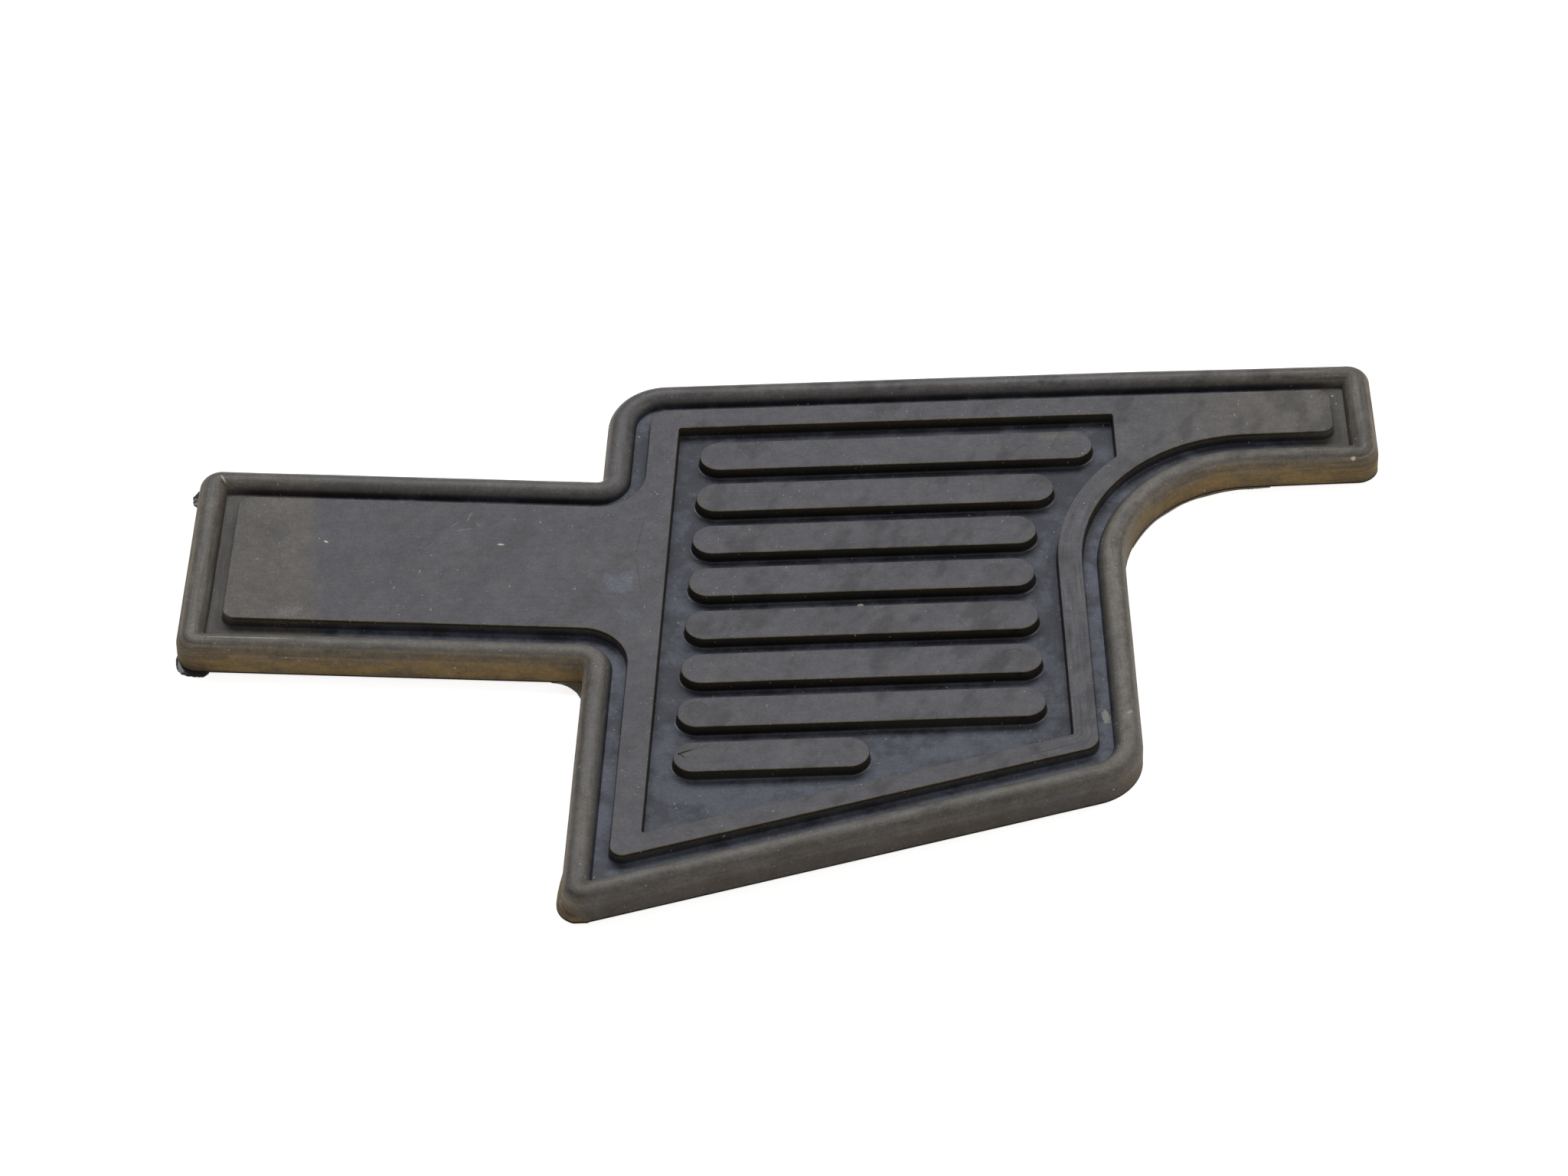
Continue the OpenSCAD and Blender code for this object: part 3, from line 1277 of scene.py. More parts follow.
@dataclass
class Ribs:
    """The row of ribs that stands in the pocket.

    Attributes:
        layout: The sizes that they are drawn to.
        root: How far they reach into the floor, in mm.
        edge_r: The radius of their top edge.
        draft: How far their walls lean.
        hollow_r: The radius at their foot.
        apron: How far the foot runs out on the floor.
        apron_dip: How deep the foot's end dips into the floor.
        round_steps: The number of steps of a full turn round their ends.
        edge_steps: The number of steps of a rounded edge.
        cut_spacing: The distance between the cuts across them, in mm.
        merge: The distance at which the tree joins points, in metres.
        wounds: What is cut into their tops.
    """

    layout: Layout = LAYOUT
    root: float = 0.4
    edge_r: float = 0.3
    draft: float = 0.16
    hollow_r: float = 0.4
    apron: float = 0.55
    apron_dip: float = 0.03
    round_steps: int = 48
    edge_steps: int = 4
    cut_spacing: float = 2.5
    merge: float = 1e-6
    wounds: tuple[Slit | PinMark, ...] = (
        PinMark(-18.4, -22.9),
        PinMark(43.5, -11.2),
        PinMark(40.9, 12.9, 2.2, 0.03),
        Slit((-22.2, -34.3), (-19.4, -33.2), 0.36, 0.08, 0.3),
        Slit((-22.2, -34.1), (-21.0, -35.3), 0.32, 0.08, 0.28),
    )
    socket_kinds: ClassVar[dict[type, str]] = {
        float: "NodeSocketFloat",
        int: "NodeSocketInt",
        bpy.types.Material: "NodeSocketMaterial",
    }

    def tree(self, material: bpy.types.Material) -> bpy.types.GeometryNodeTree:
        """Makes the tree that puts one rib on each point of a mesh.

        Args:
            material: What the ribs are made of.

        Returns:
            The tree. Its points carry an attribute named reach, half of the distance
            between the centres of a rib's round ends.
        """
        tree = bpy.data.node_groups.new("rib_row", "GeometryNodeTree")
        face = tree.interface
        face.new_socket("Geometry", in_out="OUTPUT", socket_type="NodeSocketGeometry")
        face.new_socket("Geometry", in_out="INPUT", socket_type="NodeSocketGeometry")
        for name, value in self.inputs(material).items():
            kind = self.socket_kinds[type(value)]
            face.new_socket(name, in_out="INPUT", socket_type=kind)
        graph = Graph(tree)
        source = graph.place("NodeGroupInput", {}, {})
        given = {s.name: Wire(graph, s) for s in source.outputs if s.name}
        profile = self.profile(graph, given)
        circle = graph.add(
            "GeometryNodeCurvePrimitiveCircle", {"mode": "RADIUS"},
            {"Resolution": given["Round Steps"], "Radius": given["Radius"]},
        )
        button = graph.add(
            "GeometryNodeCurveToMesh", {}, {"Curve": circle, "Profile Curve": profile}
        )
        half_step = math.pi / given["Round Steps"]
        turn = graph.add("ShaderNodeCombineXYZ", {}, {"Z": half_step})
        button = graph.add("GeometryNodeTransform", {}, {"Geometry": button, "Rotation": turn})
        button = graph.add(
            "GeometryNodeMergeByDistance", {}, {0: button, "Distance": self.merge}
        )
        x = graph.add("GeometryNodeInputPosition", {}, {}).parts()[0]
        button = graph.add(
            "GeometryNodeStoreNamedAttribute", {"data_type": "FLOAT", "domain": "POINT"},
            {"Geometry": button, "Name": "end", "Value": x.math("SIGN", x)},
        )
        ribs = graph.add(
            "GeometryNodeInstanceOnPoints", {}, {"Points": given["Geometry"], "Instance": button}
        )
        ribs = graph.add("GeometryNodeRealizeInstances", {}, {"Geometry": ribs})
        end, reach = (
            graph.add("GeometryNodeInputNamedAttribute", {"data_type": "FLOAT"}, {"Name": name})
            for name in ("end", "reach")
        )
        offset = graph.add("ShaderNodeCombineXYZ", {}, {"X": end * reach})
        ribs = graph.add("GeometryNodeSetPosition", {}, {"Geometry": ribs, "Offset": offset})
        ribs = graph.add("GeometryNodeRealizeInstances", {}, {"Geometry": ribs})
        ribs = graph.add(
            "GeometryNodeSetMaterial", {}, {"Geometry": ribs, "Material": given["Rubber"]}
        )
        graph.place("NodeGroupOutput", {}, {0: ribs})
        return tree

    @staticmethod
    def profile(graph: Graph, given: dict[str, Wire]) -> Wire:
        """Draws half of a rib's section, from the top's middle to the root's.

        Args:
            graph: The tree.
            given: The tree's named inputs.

        Returns:
            The curve, drawn from the axis at -Radius outwards, with its rounded edge.
        """
        radius, rise = given["Radius"], given["Rise"]
        foot = given["Draft"] + given["Apron"]
        corners = (
            (-radius, -rise),
            (0.0, -rise),
            (given["Draft"], 0.0),
            (foot, given["Dip"]),
            (foot, given["Root"]),
            (-radius, given["Root"]),
        )
        index = graph.add("GeometryNodeInputIndex", {}, {})
        switch = graph.place("GeometryNodeIndexSwitch", {"data_type": "VECTOR"}, {})
        while len(switch.index_switch_items) < len(corners):
            switch.index_switch_items.new()
        graph.tree.links.new(index.socket, switch.inputs["Index"])
        for k, (x, down) in enumerate(corners):
            place = graph.add("ShaderNodeCombineXYZ", {}, {"X": x, "Y": down})
            graph.tree.links.new(place.socket, switch.inputs[1 + k])
        line = graph.add("GeometryNodeMeshLine", {}, {"Count": len(corners)})
        line = graph.add(
            "GeometryNodeSetPosition", {},
            {"Geometry": line, "Position": Wire(graph, switch.outputs[0])},
        )
        line = graph.add("GeometryNodeMeshToCurve", {}, {"Mesh": line})
        is_edge, is_hollow = (
            graph.add(
                "FunctionNodeCompare", {"data_type": "INT", "operation": "EQUAL"},
                {"A_INT": index, "B_INT": corner},
            )
            for corner in (1, 2)
        )
        bend = is_edge * given["Edge Radius"] + is_hollow * given["Hollow Radius"]
        return graph.add(
            "GeometryNodeFilletCurve", {"mode": "POLY"},
            {"Curve": line, "Count": given["Edge Steps"], "Radius": bend},
        )

    def inputs(self, material: bpy.types.Material) -> dict[str, float | int | bpy.types.Material]:
        """Names the tree's inputs.

        Args:
            material: What the ribs are made of.

        Returns:
            The value of each input, by its name, with sizes in metres.
        """
        sizes = {
            "Radius": self.layout.rib_w / 2,
            "Rise": self.layout.relief_h,
            "Root": self.root,
            "Edge Radius": self.edge_r,
            "Draft": self.draft,
            "Hollow Radius": self.hollow_r,
            "Apron": self.apron,
            "Dip": self.apron_dip,
        }
        return {
            **{name: size * MM for name, size in sizes.items()},
            "Round Steps": self.round_steps,
            "Edge Steps": self.edge_steps,
            "Rubber": material,
        }

    def grow(self, material: bpy.types.Material) -> bpy.types.Object:
        """Runs the tree on a point for each rib.

        Args:
            material: What the ribs are made of.

        Returns:
            The ribs as a plain mesh of closed bodies.
        """
        rows = self.layout.rib_rows()
        points = [Vector(((start + end) / 2, y, self.layout.floor_z)) for start, end, y in rows]
        seed = new_object("rib_points", points, [])
        reach = seed.data.attributes.new("reach", "FLOAT", "POINT")
        reach.data.foreach_set("value", [(end - start) / 2 * MM for start, end, _ in rows])
        tree = self.tree(material)
        modifier = seed.modifiers.new("ribs", "NODES")
        modifier.node_group = tree
        sockets = {s.name: s.identifier for s in tree.interface.items_tree if s.in_out == "INPUT"}
        for name, value in self.inputs(material).items():
            modifier[sockets[name]] = value
        bpy.context.view_layer.update()
        mesh = self.evaluated(seed)
        seed.modifiers.remove(modifier)
        bpy.data.objects.remove(seed)
        mesh.name = "pad_ribs"
        ribs = bpy.data.objects.new("pad_ribs", mesh)
        bpy.context.scene.collection.objects.link(ribs)
        return ribs

    @staticmethod
    def evaluated(obj: bpy.types.Object) -> bpy.types.Mesh:
        """Returns a new mesh of what an object's modifiers make of it."""
        depsgraph = bpy.context.evaluated_depsgraph_get()
        return bpy.data.meshes.new_from_object(obj.evaluated_get(depsgraph))

    def build(self, material: bpy.types.Material) -> bpy.types.Object:
        """Makes the ribs.

        Args:
            material: What they are made of.

        Returns:
            One mesh of closed bodies.
        """
        ribs = self.grow(material)
        for wound in self.wounds:
            self.cut(ribs, wound.cutter(self.layout.total_h))
        mesh = ribs.data
        mesh.materials.clear()
        mesh.materials.append(material)
        mesh.polygons.foreach_set("material_index", [0] * len(mesh.polygons))
        self.divide(ribs)
        finish_mesh(ribs)
        PadBody.age(ribs)
        return ribs

    @staticmethod
    def cut(ribs: bpy.types.Object, cutter: bpy.types.Object) -> None:
        """Takes a cutter's shape out of the ribs, and removes the cutter.

        Args:
            ribs: The ribs.
            cutter: The closed shape.
        """
        modifier = ribs.modifiers.new("cut", "BOOLEAN")
        modifier.operation, modifier.solver, modifier.object = "DIFFERENCE", "EXACT", cutter
        mesh = Ribs.evaluated(ribs)
        ribs.modifiers.remove(modifier)
        ribs.data = mesh
        bpy.data.objects.remove(cutter)

    def divide(self, ribs: bpy.types.Object) -> None:
        """Cuts the ribs' long faces across, so that they can take the rubber's unevenness.

        Args:
            ribs: The ribs.
        """
        bm = bmesh.new()
        bm.from_mesh(ribs.data)
        low = min(v.co.x for v in bm.verts)
        high = max(v.co.x for v in bm.verts)
        steps = int((high - low) / (self.cut_spacing * MM))
        for k in range(1, steps):
            bmesh.ops.bisect_plane(
                bm,
                geom=[*bm.verts, *bm.edges, *bm.faces],
                dist=MERGE_M,
                plane_co=(low + (high - low) * k / steps, 0.0, 0.0),
                plane_no=(1.0, 0.0, 0.0),
            )
        bm.to_mesh(ribs.data)
        bm.free()


# --------------------------------------------------------------------------- flash


@dataclass(frozen=True)
class FlashPiece:
    """A scrap of rubber left at the foot of the wall.

    Attributes:
        name: Its name.
        corner: The corner of the outline that it is measured from, one of At.
        start: Where it starts along the outline, in mm from the corner's middle.
        end: Where it ends.
        proud: How far it stands out, in mm, at equal steps from its start to its end.
        thick: Its thickness at the wall, in mm.
        dust: How dusty it is.
        ragged: How far its free edge strays, as a part of how far it stands out.
    """

    name: str
    corner: At
    start: float
    end: float
    proud: tuple[float, ...]
    thick: float = 0.4
    dust: float = 0.0
    ragged: float = 0.12


@dataclass
class Flash:
    """The flash that the mould left round the foot of the wall.

    Attributes:
        layout: The sizes that it is drawn to.
        arc_step: The largest angle of one step round a corner, in degrees.
        step: The distance between its points, in mm.
        bite: How far it reaches into the wall.
        least: How far it stands out at the least.
        nearest: The y that it doesn't reach past.
        seed: What its ragged edge is drawn from.
        sharp: The angle above which its edges are sharp, in degrees.
        section: Its rows of points, each a part of the way out and a part of the thickness.
        web_steps: The number of steps of a web's free edge.
        web_ragged: How far a web's free edge strays.
        far_web: How large the far web is beside the near one.
        pieces: The scraps that follow the wall.
    """

    layout: Layout = LAYOUT
    arc_step: float = 4.0
    step: float = 0.4
    bite: float = 0.35
    least: float = 0.03
    nearest: float = CAD_BOX[0][1] / MM + 0.02
    seed: int = 11
    sharp: float = 30.0
    section: tuple[tuple[float, float], ...] = ((0.0, 1.0), (0.6, 0.85), (1.0, 0.35))
    web_steps: int = 18
    web_ragged: float = 0.04
    far_web: float = 0.45
    pieces: tuple[FlashPiece, ...] = (
        FlashPiece(
            "flash_tongue_far", At.TONGUE_FAR, -2.4, 4.8, (0.1, 1.8, 2.3, 2.2, 1.8, 0.1)
        ),
        FlashPiece(
            "flash_tongue_near", At.TONGUE_NEAR, -3.2, 6.0,
            (0.05, 0.3, 0.6, 1.1, 1.5, 1.45, 1.3, 1.3, 1.4, 0.05),
        ),
        FlashPiece(
            "flash_arm", At.ARM_FILLET, -9.0, 26.0,
            (0.05, 0.2, 0.1, 0.35, 0.15, 0.4, 0.25, 0.3, 0.05), thick=0.25, ragged=0.3,
        ),
        FlashPiece(
            "flash_foot", At.BODY_NEAR_LEFT, -15.0, 4.0,
            (0.02, 0.3, 0.65, 0.9, 0.95, 0.8, 0.5, 0.02), thick=1.8, dust=0.9, ragged=0.0,
        ),
    )

    def wall(self) -> tuple[list[Vector], list[Vector], list[float], list[float]]:
        """Follows the foot of the wall in small steps.

        Returns:
            Its points, their outward normals, their distances along it, and the distance
            of each corner's middle.
        """
        loop = self.layout.outline(self.layout.tongue_root_r)
        plan = loop.plan(self.arc_step, self.step)
        points = loop.points(plan)
        lengths, places, k = [0.0], [], 0
        for a, b in zip(points, points[1:]):
            lengths.append(lengths[-1] + (b - a).length)
        for steps, parts in plan:
            places.append(lengths[k + steps // 2])
            k += steps + parts
        normals = []
        for k, p in enumerate(points):
            along = points[(k + 1) % len(points)] - points[k - 1]
            normals.append(Vector((along.y, -along.x)).normalized())
        return points, normals, lengths, places

    def sheet(
        self, name: str, inner: Sequence[Vector], outer: Sequence[Vector], thick: float,
        dust: float = 0.0,
    ) -> bpy.types.Object:
        """Makes a thin closed scrap between two lines with as many points.

        Args:
            name: The object's name.
            inner: The line inside the wall.
            outer: The free edge.
            thick: The thickness at the wall, in mm.
            dust: How dusty it is.

        Returns:
            The object.
        """
        profile = [(0.0, 0.0), *self.section, (1.0, 0.0)]
        points = []
        for part, height in profile:
            ends = (i.lerp(o, part) for i, o in zip(inner, outer))
            points += [Vector((p.x, p.y, thick * height)) for p in ends]
        rows, count = len(profile), len(inner)
        faces = []
        for j in range(rows):
            for k in range(count - 1):
                a, b = j * count + k, (j + 1) % rows * count + k
                faces.append((a, a + 1, b + 1, b))
        for k in (0, count - 1):
            faces.append(tuple(j * count + k for j in range(rows)))
        obj = new_object(name, points, faces)
        finish_mesh(obj, self.sharp)
        layer = obj.data.attributes.new("dust", "FLOAT", "POINT")
        layer.data.foreach_set("value", [dust] * len(obj.data.vertices))
        for vertex in obj.data.vertices:
            vertex.co = SAG.settle(vertex.co / MM) * MM
        return obj

    def scrap(self, piece: FlashPiece) -> bpy.types.Object:
        """Makes a scrap that follows the wall, with a ragged free edge.

        Args:
            piece: Its place and sizes.

        Returns:
            The scrap.
        """
        points, normals, lengths, places = self.wall()
        draw = random.Random(self.seed + piece.corner)
        inner, outer = [], []
        centre, total = places[piece.corner], piece.end - piece.start
        for p, normal, length in zip(points, normals, lengths):
            t = (length - centre - piece.start) / total
            if not 0.0 <= t <= 1.0:
                continue
            scaled = t * (len(piece.proud) - 1)
            k = min(int(scaled), len(piece.proud) - 2)
            proud = piece.proud[k] + (piece.proud[k + 1] - piece.proud[k]) * (scaled - k)
            proud *= 1.0 + draw.uniform(-1.0, 0.6) * piece.ragged
            inner.append(p - normal * self.bite)
            free = p + normal * max(self.least, proud)
            outer.append(Vector((free.x, max(free.y, self.nearest))))
        return self.sheet(piece.name, inner, outer, piece.thick, piece.dust)

    def web(self, name: str, corner: At, radius: float) -> bpy.types.Object:
        """Makes the web left across a corner at the tongue's root.

        Args:
            name: The object's name.
            corner: The corner.
            radius: The radius of its free edge.

        Returns:
            The web.
        """
        size, steps = self.layout, self.web_steps
        inner = size.outline(size.tongue_root_r).inset(self.bite)
        outer = size.outline(radius)
        arc = outer.bend(corner, steps)
        before, after, _ = inner.turn_at(corner)
        root = inner.corners[corner].at
        draw = random.Random(self.seed * 3 + corner)
        line = []
        for k in range(steps + 1):
            t = k / steps
            reach = (arc[0] - root).length * (1.0 - 2.0 * t)
            line.append(root - before * reach if reach > 0 else root - after * reach)
        arc = [p.lerp(root, self.web_ragged * draw.random()) for p in arc]
        return self.sheet(name, line, arc, size.flash_t)

    def build(self) -> list[bpy.types.Object]:
        """Makes the flash.

        Returns:
            Its scraps and webs.
        """
        near = self.layout.flash_root_r
        return [
            *(self.scrap(piece) for piece in self.pieces),
            self.web("flash_root_near", At.ROOT_NEAR, near),
            self.web("flash_root_far", At.ROOT_FAR, self.far_web * near),
        ]


# --------------------------------------------------------------------------- finishes


class Tint(Enum):
    """The colours of the marks that use has left on the rubber, the polished ones with their
    painted sheen.
    """

    CHALK = colour(160, 156, 146)
    CREAM = colour(226, 216, 186)
    SAND = colour(140, 131, 108)
    RUST = colour(122, 94, 58)
    # Polished wear, painted lighter and bluer as its sheen.
    POLISHED_SHEEN = colour(112, 119, 134)
    SOOT = colour(62, 60, 62)


@dataclass(frozen=True)
class Mark:
    """An oval mark on the rubber.

    Attributes:
        x: The x of its middle, in mm.
        y: The y of its middle, in mm.
        length: Its length, in mm.
        width: Its width, in mm.
        tint: Its colour.
        strength: How far it covers the rubber, from 0 to 1.
        turn: The angle of its length to +X, in degrees.
        ragged: How ragged its outline is.
        grain: The size of the ragged parts, in mm.
    """

    x: float
    y: float
    length: float
    width: float
    tint: Tint
    strength: float = 0.6
    turn: float = 0.0
    ragged: float = 0.5
    grain: float = 0.6

    def mask(self, graph: Graph, at: Wire) -> Wire:
        """Says how far the mark covers each point.

        Args:
            graph: The material's tree.
            at: The place, in mm.

        Returns:
            The cover, from 0 to 1.
        """
        scale = (2.0 / self.length, 2.0 / self.width, 0.0)
        local = graph.placed(at, (self.x, self.y, 0.0), self.turn, scale)
        far = graph.add("ShaderNodeVectorMath", {"operation": "LENGTH"}, {0: local}, "Value")
        if self.ragged:
            far = far + (graph.noise(at, self.grain, 2.0) - 0.5) * (2.0 * self.ragged)
        return far.fade(0.65, 1.05) * self.strength


@dataclass(frozen=True)
class SpeckLayer:
    """A layer of specks, all drawn out the same way.

    Attributes:
        shift: The point that becomes the layer's origin, in mm.
        turn: The direction of the specks, in degrees.
        stretch: What their length is divided by.
        cell: The distance between the points that may carry one, in mm.
        size: The radius of the largest ones, in mm.
        share: The part of the points that carries one.
    """

    shift: tuple[float, float, float]
    turn: float
    stretch: float
    cell: float
    size: float
    share: float

    def mask(self, graph: Graph, at: Wire) -> Wire:
        """Returns 1 on the layer's specks and 0 elsewhere."""
        layer = graph.placed(at, self.shift, self.turn, (self.stretch, 1.0, 1.0))
        return graph.specks(layer, self.cell, self.size, self.share)


@dataclass(frozen=True)
class Skin:
    """What the rubber's finish knows of each point.

    Attributes:
        graph: The material's tree.
        at: The place on the pedal, in mm.
        x: Its x.
        y: Its y.
        z: Its z.
        away: How far the surface faces away from the user.
        facing: How far it faces up.
        across: The distance in from the raised field's edge, or 0 on a rib.
        dust: How dusty the outer wall is.
        crown: How far the point is on the bead's crown.
        rub: How far the crown is rubbed light.
        clouds: Soft noise over the whole pedal.
        grain: Fine noise.
        drawn: The place, drawn out along the outline.
        streaks: Noise drawn out along the outline.
        DRAWN_OUT: What x and y are multiplied by for the streaks and the drawn-out place.
        RIM_EDGE: How far outside the raised field the rim starts, in mm across.
        TONGUE_END: The x between which the tongue's end starts.
        ARM_END: The x between which the arm's end starts.
        STRIP_LEFT: The x between which the strip right of the pocket starts.
        STRIP_FAR: The y between which it ends.
    """

    DRAWN_OUT: ClassVar[tuple[float, float]] = (0.05, 0.14)
    RIM_EDGE: ClassVar[tuple[float, float]] = (-1.2, -0.8)
    TONGUE_END: ClassVar[tuple[float, float]] = (-109.5, -107.0)
    ARM_END: ClassVar[tuple[float, float]] = (98.0, 114.0)
    STRIP_LEFT: ClassVar[tuple[float, float]] = (44.0, 48.0)
    STRIP_FAR: ClassVar[tuple[float, float]] = (30.0, 36.0)

    graph: Graph
    at: Wire
    x: Wire
    y: Wire
    z: Wire
    away: Wire
    facing: Wire
    across: Wire
    dust: Wire
    crown: Wire
    rub: Wire
    clouds: Wire
    grain: Wire
    drawn: Wire
    streaks: Wire

    @classmethod
    def read(cls, graph: Graph) -> "Skin":
        """Reads the skin into a material's tree.

        Args:
            graph: The tree.

        Returns:
            The skin.
        """
        at = graph.place_in_mm()
        x, y, z = at.parts()
        _, away, facing = graph.add("ShaderNodeNewGeometry", {}, {}, "Normal").parts()
        across, dust, crown, rub = (
            graph.add("ShaderNodeAttribute", {"attribute_name": name}, {}, "Fac")
            for name in ("across", "dust", "crown", "rub")
        )
        lay, drawn = (
            graph.add("ShaderNodeCombineXYZ", {}, {"X": x * part, "Y": y * part, "Z": across})
            for part in cls.DRAWN_OUT
        )
        return cls(
            graph, at, x, y, z, away, facing, across, dust, crown, rub,
            graph.noise(at, 11.0, 4.0, 0.6), graph.noise(at, 0.5, 4.0, 0.7),
            drawn, graph.noise(lay, 0.55, 3.0),
        )

    @cached_property
    def ribs(self) -> Wire:
        """Returns 1 on the ribs and 0 elsewhere."""
        return self.across.size().fade(0.0, 0.01)

    @cached_property
    def rim(self) -> Wire:
        """Returns 1 outside the raised field and 0 on it."""
        return self.across.fade(*self.RIM_EDGE)

    @cached_property
    def end(self) -> Wire:
        """Returns 1 at the tongue's and the arm's ends and 0 elsewhere."""
        return self.x.fade(*self.TONGUE_END).most(self.x.step(*self.ARM_END))

    @cached_property
    def strip(self) -> Wire:
        """Returns 1 on the raised strip right of the pocket and 0 elsewhere."""
        side = self.x.step(*self.STRIP_LEFT) * self.y.fade(*self.STRIP_FAR)
        return side * self.across.step(0.2, 0.5) * self.across.fade(4.4, 5.2)


@dataclass(frozen=True)
class PadRubber:
    """Black moulded rubber: greyed on top by use, dusty outside, black where it is steep, with
    painted shade at the walls' feet and painted light in places.

    Attributes:
        top: The raised field and the ribs.
        sunk: The floors, with a bluish tint that is a painted reflection of the lamp.
        pool: The floors' dark swirls.
        crown: The bead's crown.
        band: The crown where it is rubbed light.
        deep: The walls inside, low down, and the painted shade at the feet of the walls in the
            pocket and along the outer wall's foot.
        bark: The walls inside, near their top.
        scrap: The flash, painted lighter to make up for the wall's shade over it.
        burnt: The flash at the tongue's end.
        ochre: The dust on the outer wall.
        umber: The dust's dark patches.
        dusty: The upper part of the outer wall: dust, painted lighter as a highlight on its
            shoulder.
        lit_worn_edge: The edges' wear, painted lighter as a highlight along them.
        loam: The brown film on the tongue's end and on the arm.
        moss: The floors of the tongue's end and the arm's.
        earth: The soil on the crown.
        specks: The pale specks.
        loam_from: The x at which the tongue's brown film starts.
        arm_film: The x between which the arm's brown film comes in.
        rise: The heights between which the floors' colours give way to the field's.
        upper: The heights between which the marks of the upper side come in.
        flash_and_shadow_line_top: The heights between which the flash's colours and the painted
            shadow line at the wall's foot fade out.
        tip: The x between which the flash is that of the tongue's end.
        marks: The marks of use.
        speck_layers: The layers of drawn-out specks.
        coat_rough: The roughness of the gloss at the ribs' feet.
        gloss: The strength of the plain reflections.
        bump_depth: The depth of the grain, in metres.
    """

    top: tuple = colour(90, 89, 94)
    sunk: tuple = colour(84, 88, 100)
    pool: tuple = colour(52, 55, 65)
    crown: tuple = colour(94, 91, 91)
    band: tuple = colour(134, 129, 120)
    deep: tuple = colour(18, 16, 8)
    bark: tuple = colour(48, 40, 22)
    scrap: tuple = colour(150, 141, 126)
    burnt: tuple = colour(34, 30, 34)
    ochre: tuple = colour(132, 109, 68)
    umber: tuple = colour(92, 78, 58)
    dusty: tuple = colour(128, 119, 106)
    lit_worn_edge: tuple = colour(140, 128, 100)
    loam: tuple = colour(104, 98, 90)
    moss: tuple = colour(80, 76, 69)
    earth: tuple = colour(97, 91, 75)
    specks: tuple = colour(206, 204, 196)
    loam_from: float = -92.0
    arm_film: tuple[float, float] = (62.0, 100.0)
    rise: tuple[float, float] = (5.4, 6.4)
    upper: tuple[float, float] = (6.0, 6.8)
    flash_and_shadow_line_top: tuple[float, float] = (0.42, 0.6)
    tip: tuple[float, float] = (-112.0, -108.0)
    marks: tuple[Mark, ...] = (
        Mark(-61.8, 33.4, 3.2, 0.4, Tint.CHALK, 0.5, 70.0),
        Mark(-97.0, 8.6, 5.4, 3.0, Tint.CHALK, 0.28, 20.0, 2.4, 0.35),
        Mark(-64.6, 31.6, 2.6, 0.32, Tint.CHALK, 0.4, 35.0),
        Mark(-60.0, 31.2, 2.4, 0.3, Tint.CHALK, 0.4, 115.0),
        Mark(-62.6, 30.0, 3.4, 0.28, Tint.CHALK, 0.35, 8.0),
        Mark(-55.6, 25.4, 1.6, 0.55, Tint.CREAM, 1.0, -12.0, 0.15),
        Mark(-90.0, 27.9, 1.0, 0.5, Tint.CREAM, 0.9, -30.0, 0.15),
        Mark(14.5, 7.25, 1.4, 1.2, Tint.CREAM, 1.0, 0.0, 0.15),
        Mark(114.2, 42.9, 1.1, 0.7, Tint.CREAM, 0.9, 10.0, 0.2),
        Mark(64.9, -26.9, 1.6, 0.8, Tint.CHALK, 0.9, 40.0, 0.4),
        Mark(55.5, 51.2, 7.5, 2.4, Tint.SAND, 0.3, 5.0, 1.6, 0.5),
        Mark(60.4, -25.6, 1.8, 4.2, Tint.CHALK, 0.6, 10.0, 0.8, 0.7),
        Mark(-105.0, 1.6, 20.5, 0.42, Tint.CHALK, 0.9, -4.6, 0.45, 0.4),
        Mark(-110.6, 47.2, 2.6, 0.4, Tint.CREAM, 0.6, -62.0, 0.2, 0.3),
        Mark(-110.8, 42.5, 5.8, 0.35, Tint.RUST, 0.8, 89.0, 0.2, 0.3),
        Mark(-32.5, 13.6, 8.0, 6.2, Tint.POLISHED_SHEEN, 0.42, 30.0, 1.0, 2.4),
        Mark(-31.0, 4.6, 5.0, 3.0, Tint.POLISHED_SHEEN, 0.25, -30.0, 1.0, 2.0),
        Mark(-39.5, 8.6, 9.0, 4.4, Tint.SOOT, 0.3, 50.0, 0.9, 2.4),
        Mark(-51.3, 0.4, 1.3, 3.0, Tint.SOOT, 0.5, 5.0, 0.8, 0.7),
        Mark(-28.1, 26.9, 12.0, 0.4, Tint.SOOT, 0.6, 79.0, 0.5, 0.8),
        Mark(-28.7, 15.2, 12.4, 0.36, Tint.SOOT, 0.55, 95.3, 0.6, 0.8),
        Mark(-18.4, -22.9, 5.2, 5.2, Tint.SOOT, 0.45, 0.0, 0.35, 1.5),
        Mark(43.5, -11.2, 5.0, 5.0, Tint.SOOT, 0.35, 0.0, 0.35, 1.5),
        Mark(40.9, 12.9, 4.8, 4.8, Tint.SOOT, 0.3, 0.0, 0.35, 1.5),
        Mark(-15.5, -0.5, 4.0, 4.0, Tint.SOOT, 0.2, 0.0, 0.5, 1.5),
        Mark(-18.8, -33.0, 7.0, 0.9, Tint.SOOT, 0.55, 20.0, 0.5, 0.7),
        Mark(-21.3, -32.6, 2.6, 2.2, Tint.SOOT, 0.35, 30.0, 0.6, 0.9),
    )
    speck_layers: tuple[SpeckLayer, ...] = (
        SpeckLayer((17.0, 41.0, 5.0), 20.0, 1.0, 1.1, 0.17, 0.45),
        SpeckLayer((-31.0, 8.0, 3.0), 75.0, 0.22, 1.2, 0.12, 0.3),
        SpeckLayer((9.0, -27.0, 1.0), 110.0, 0.16, 1.6, 0.11, 0.3),
    )
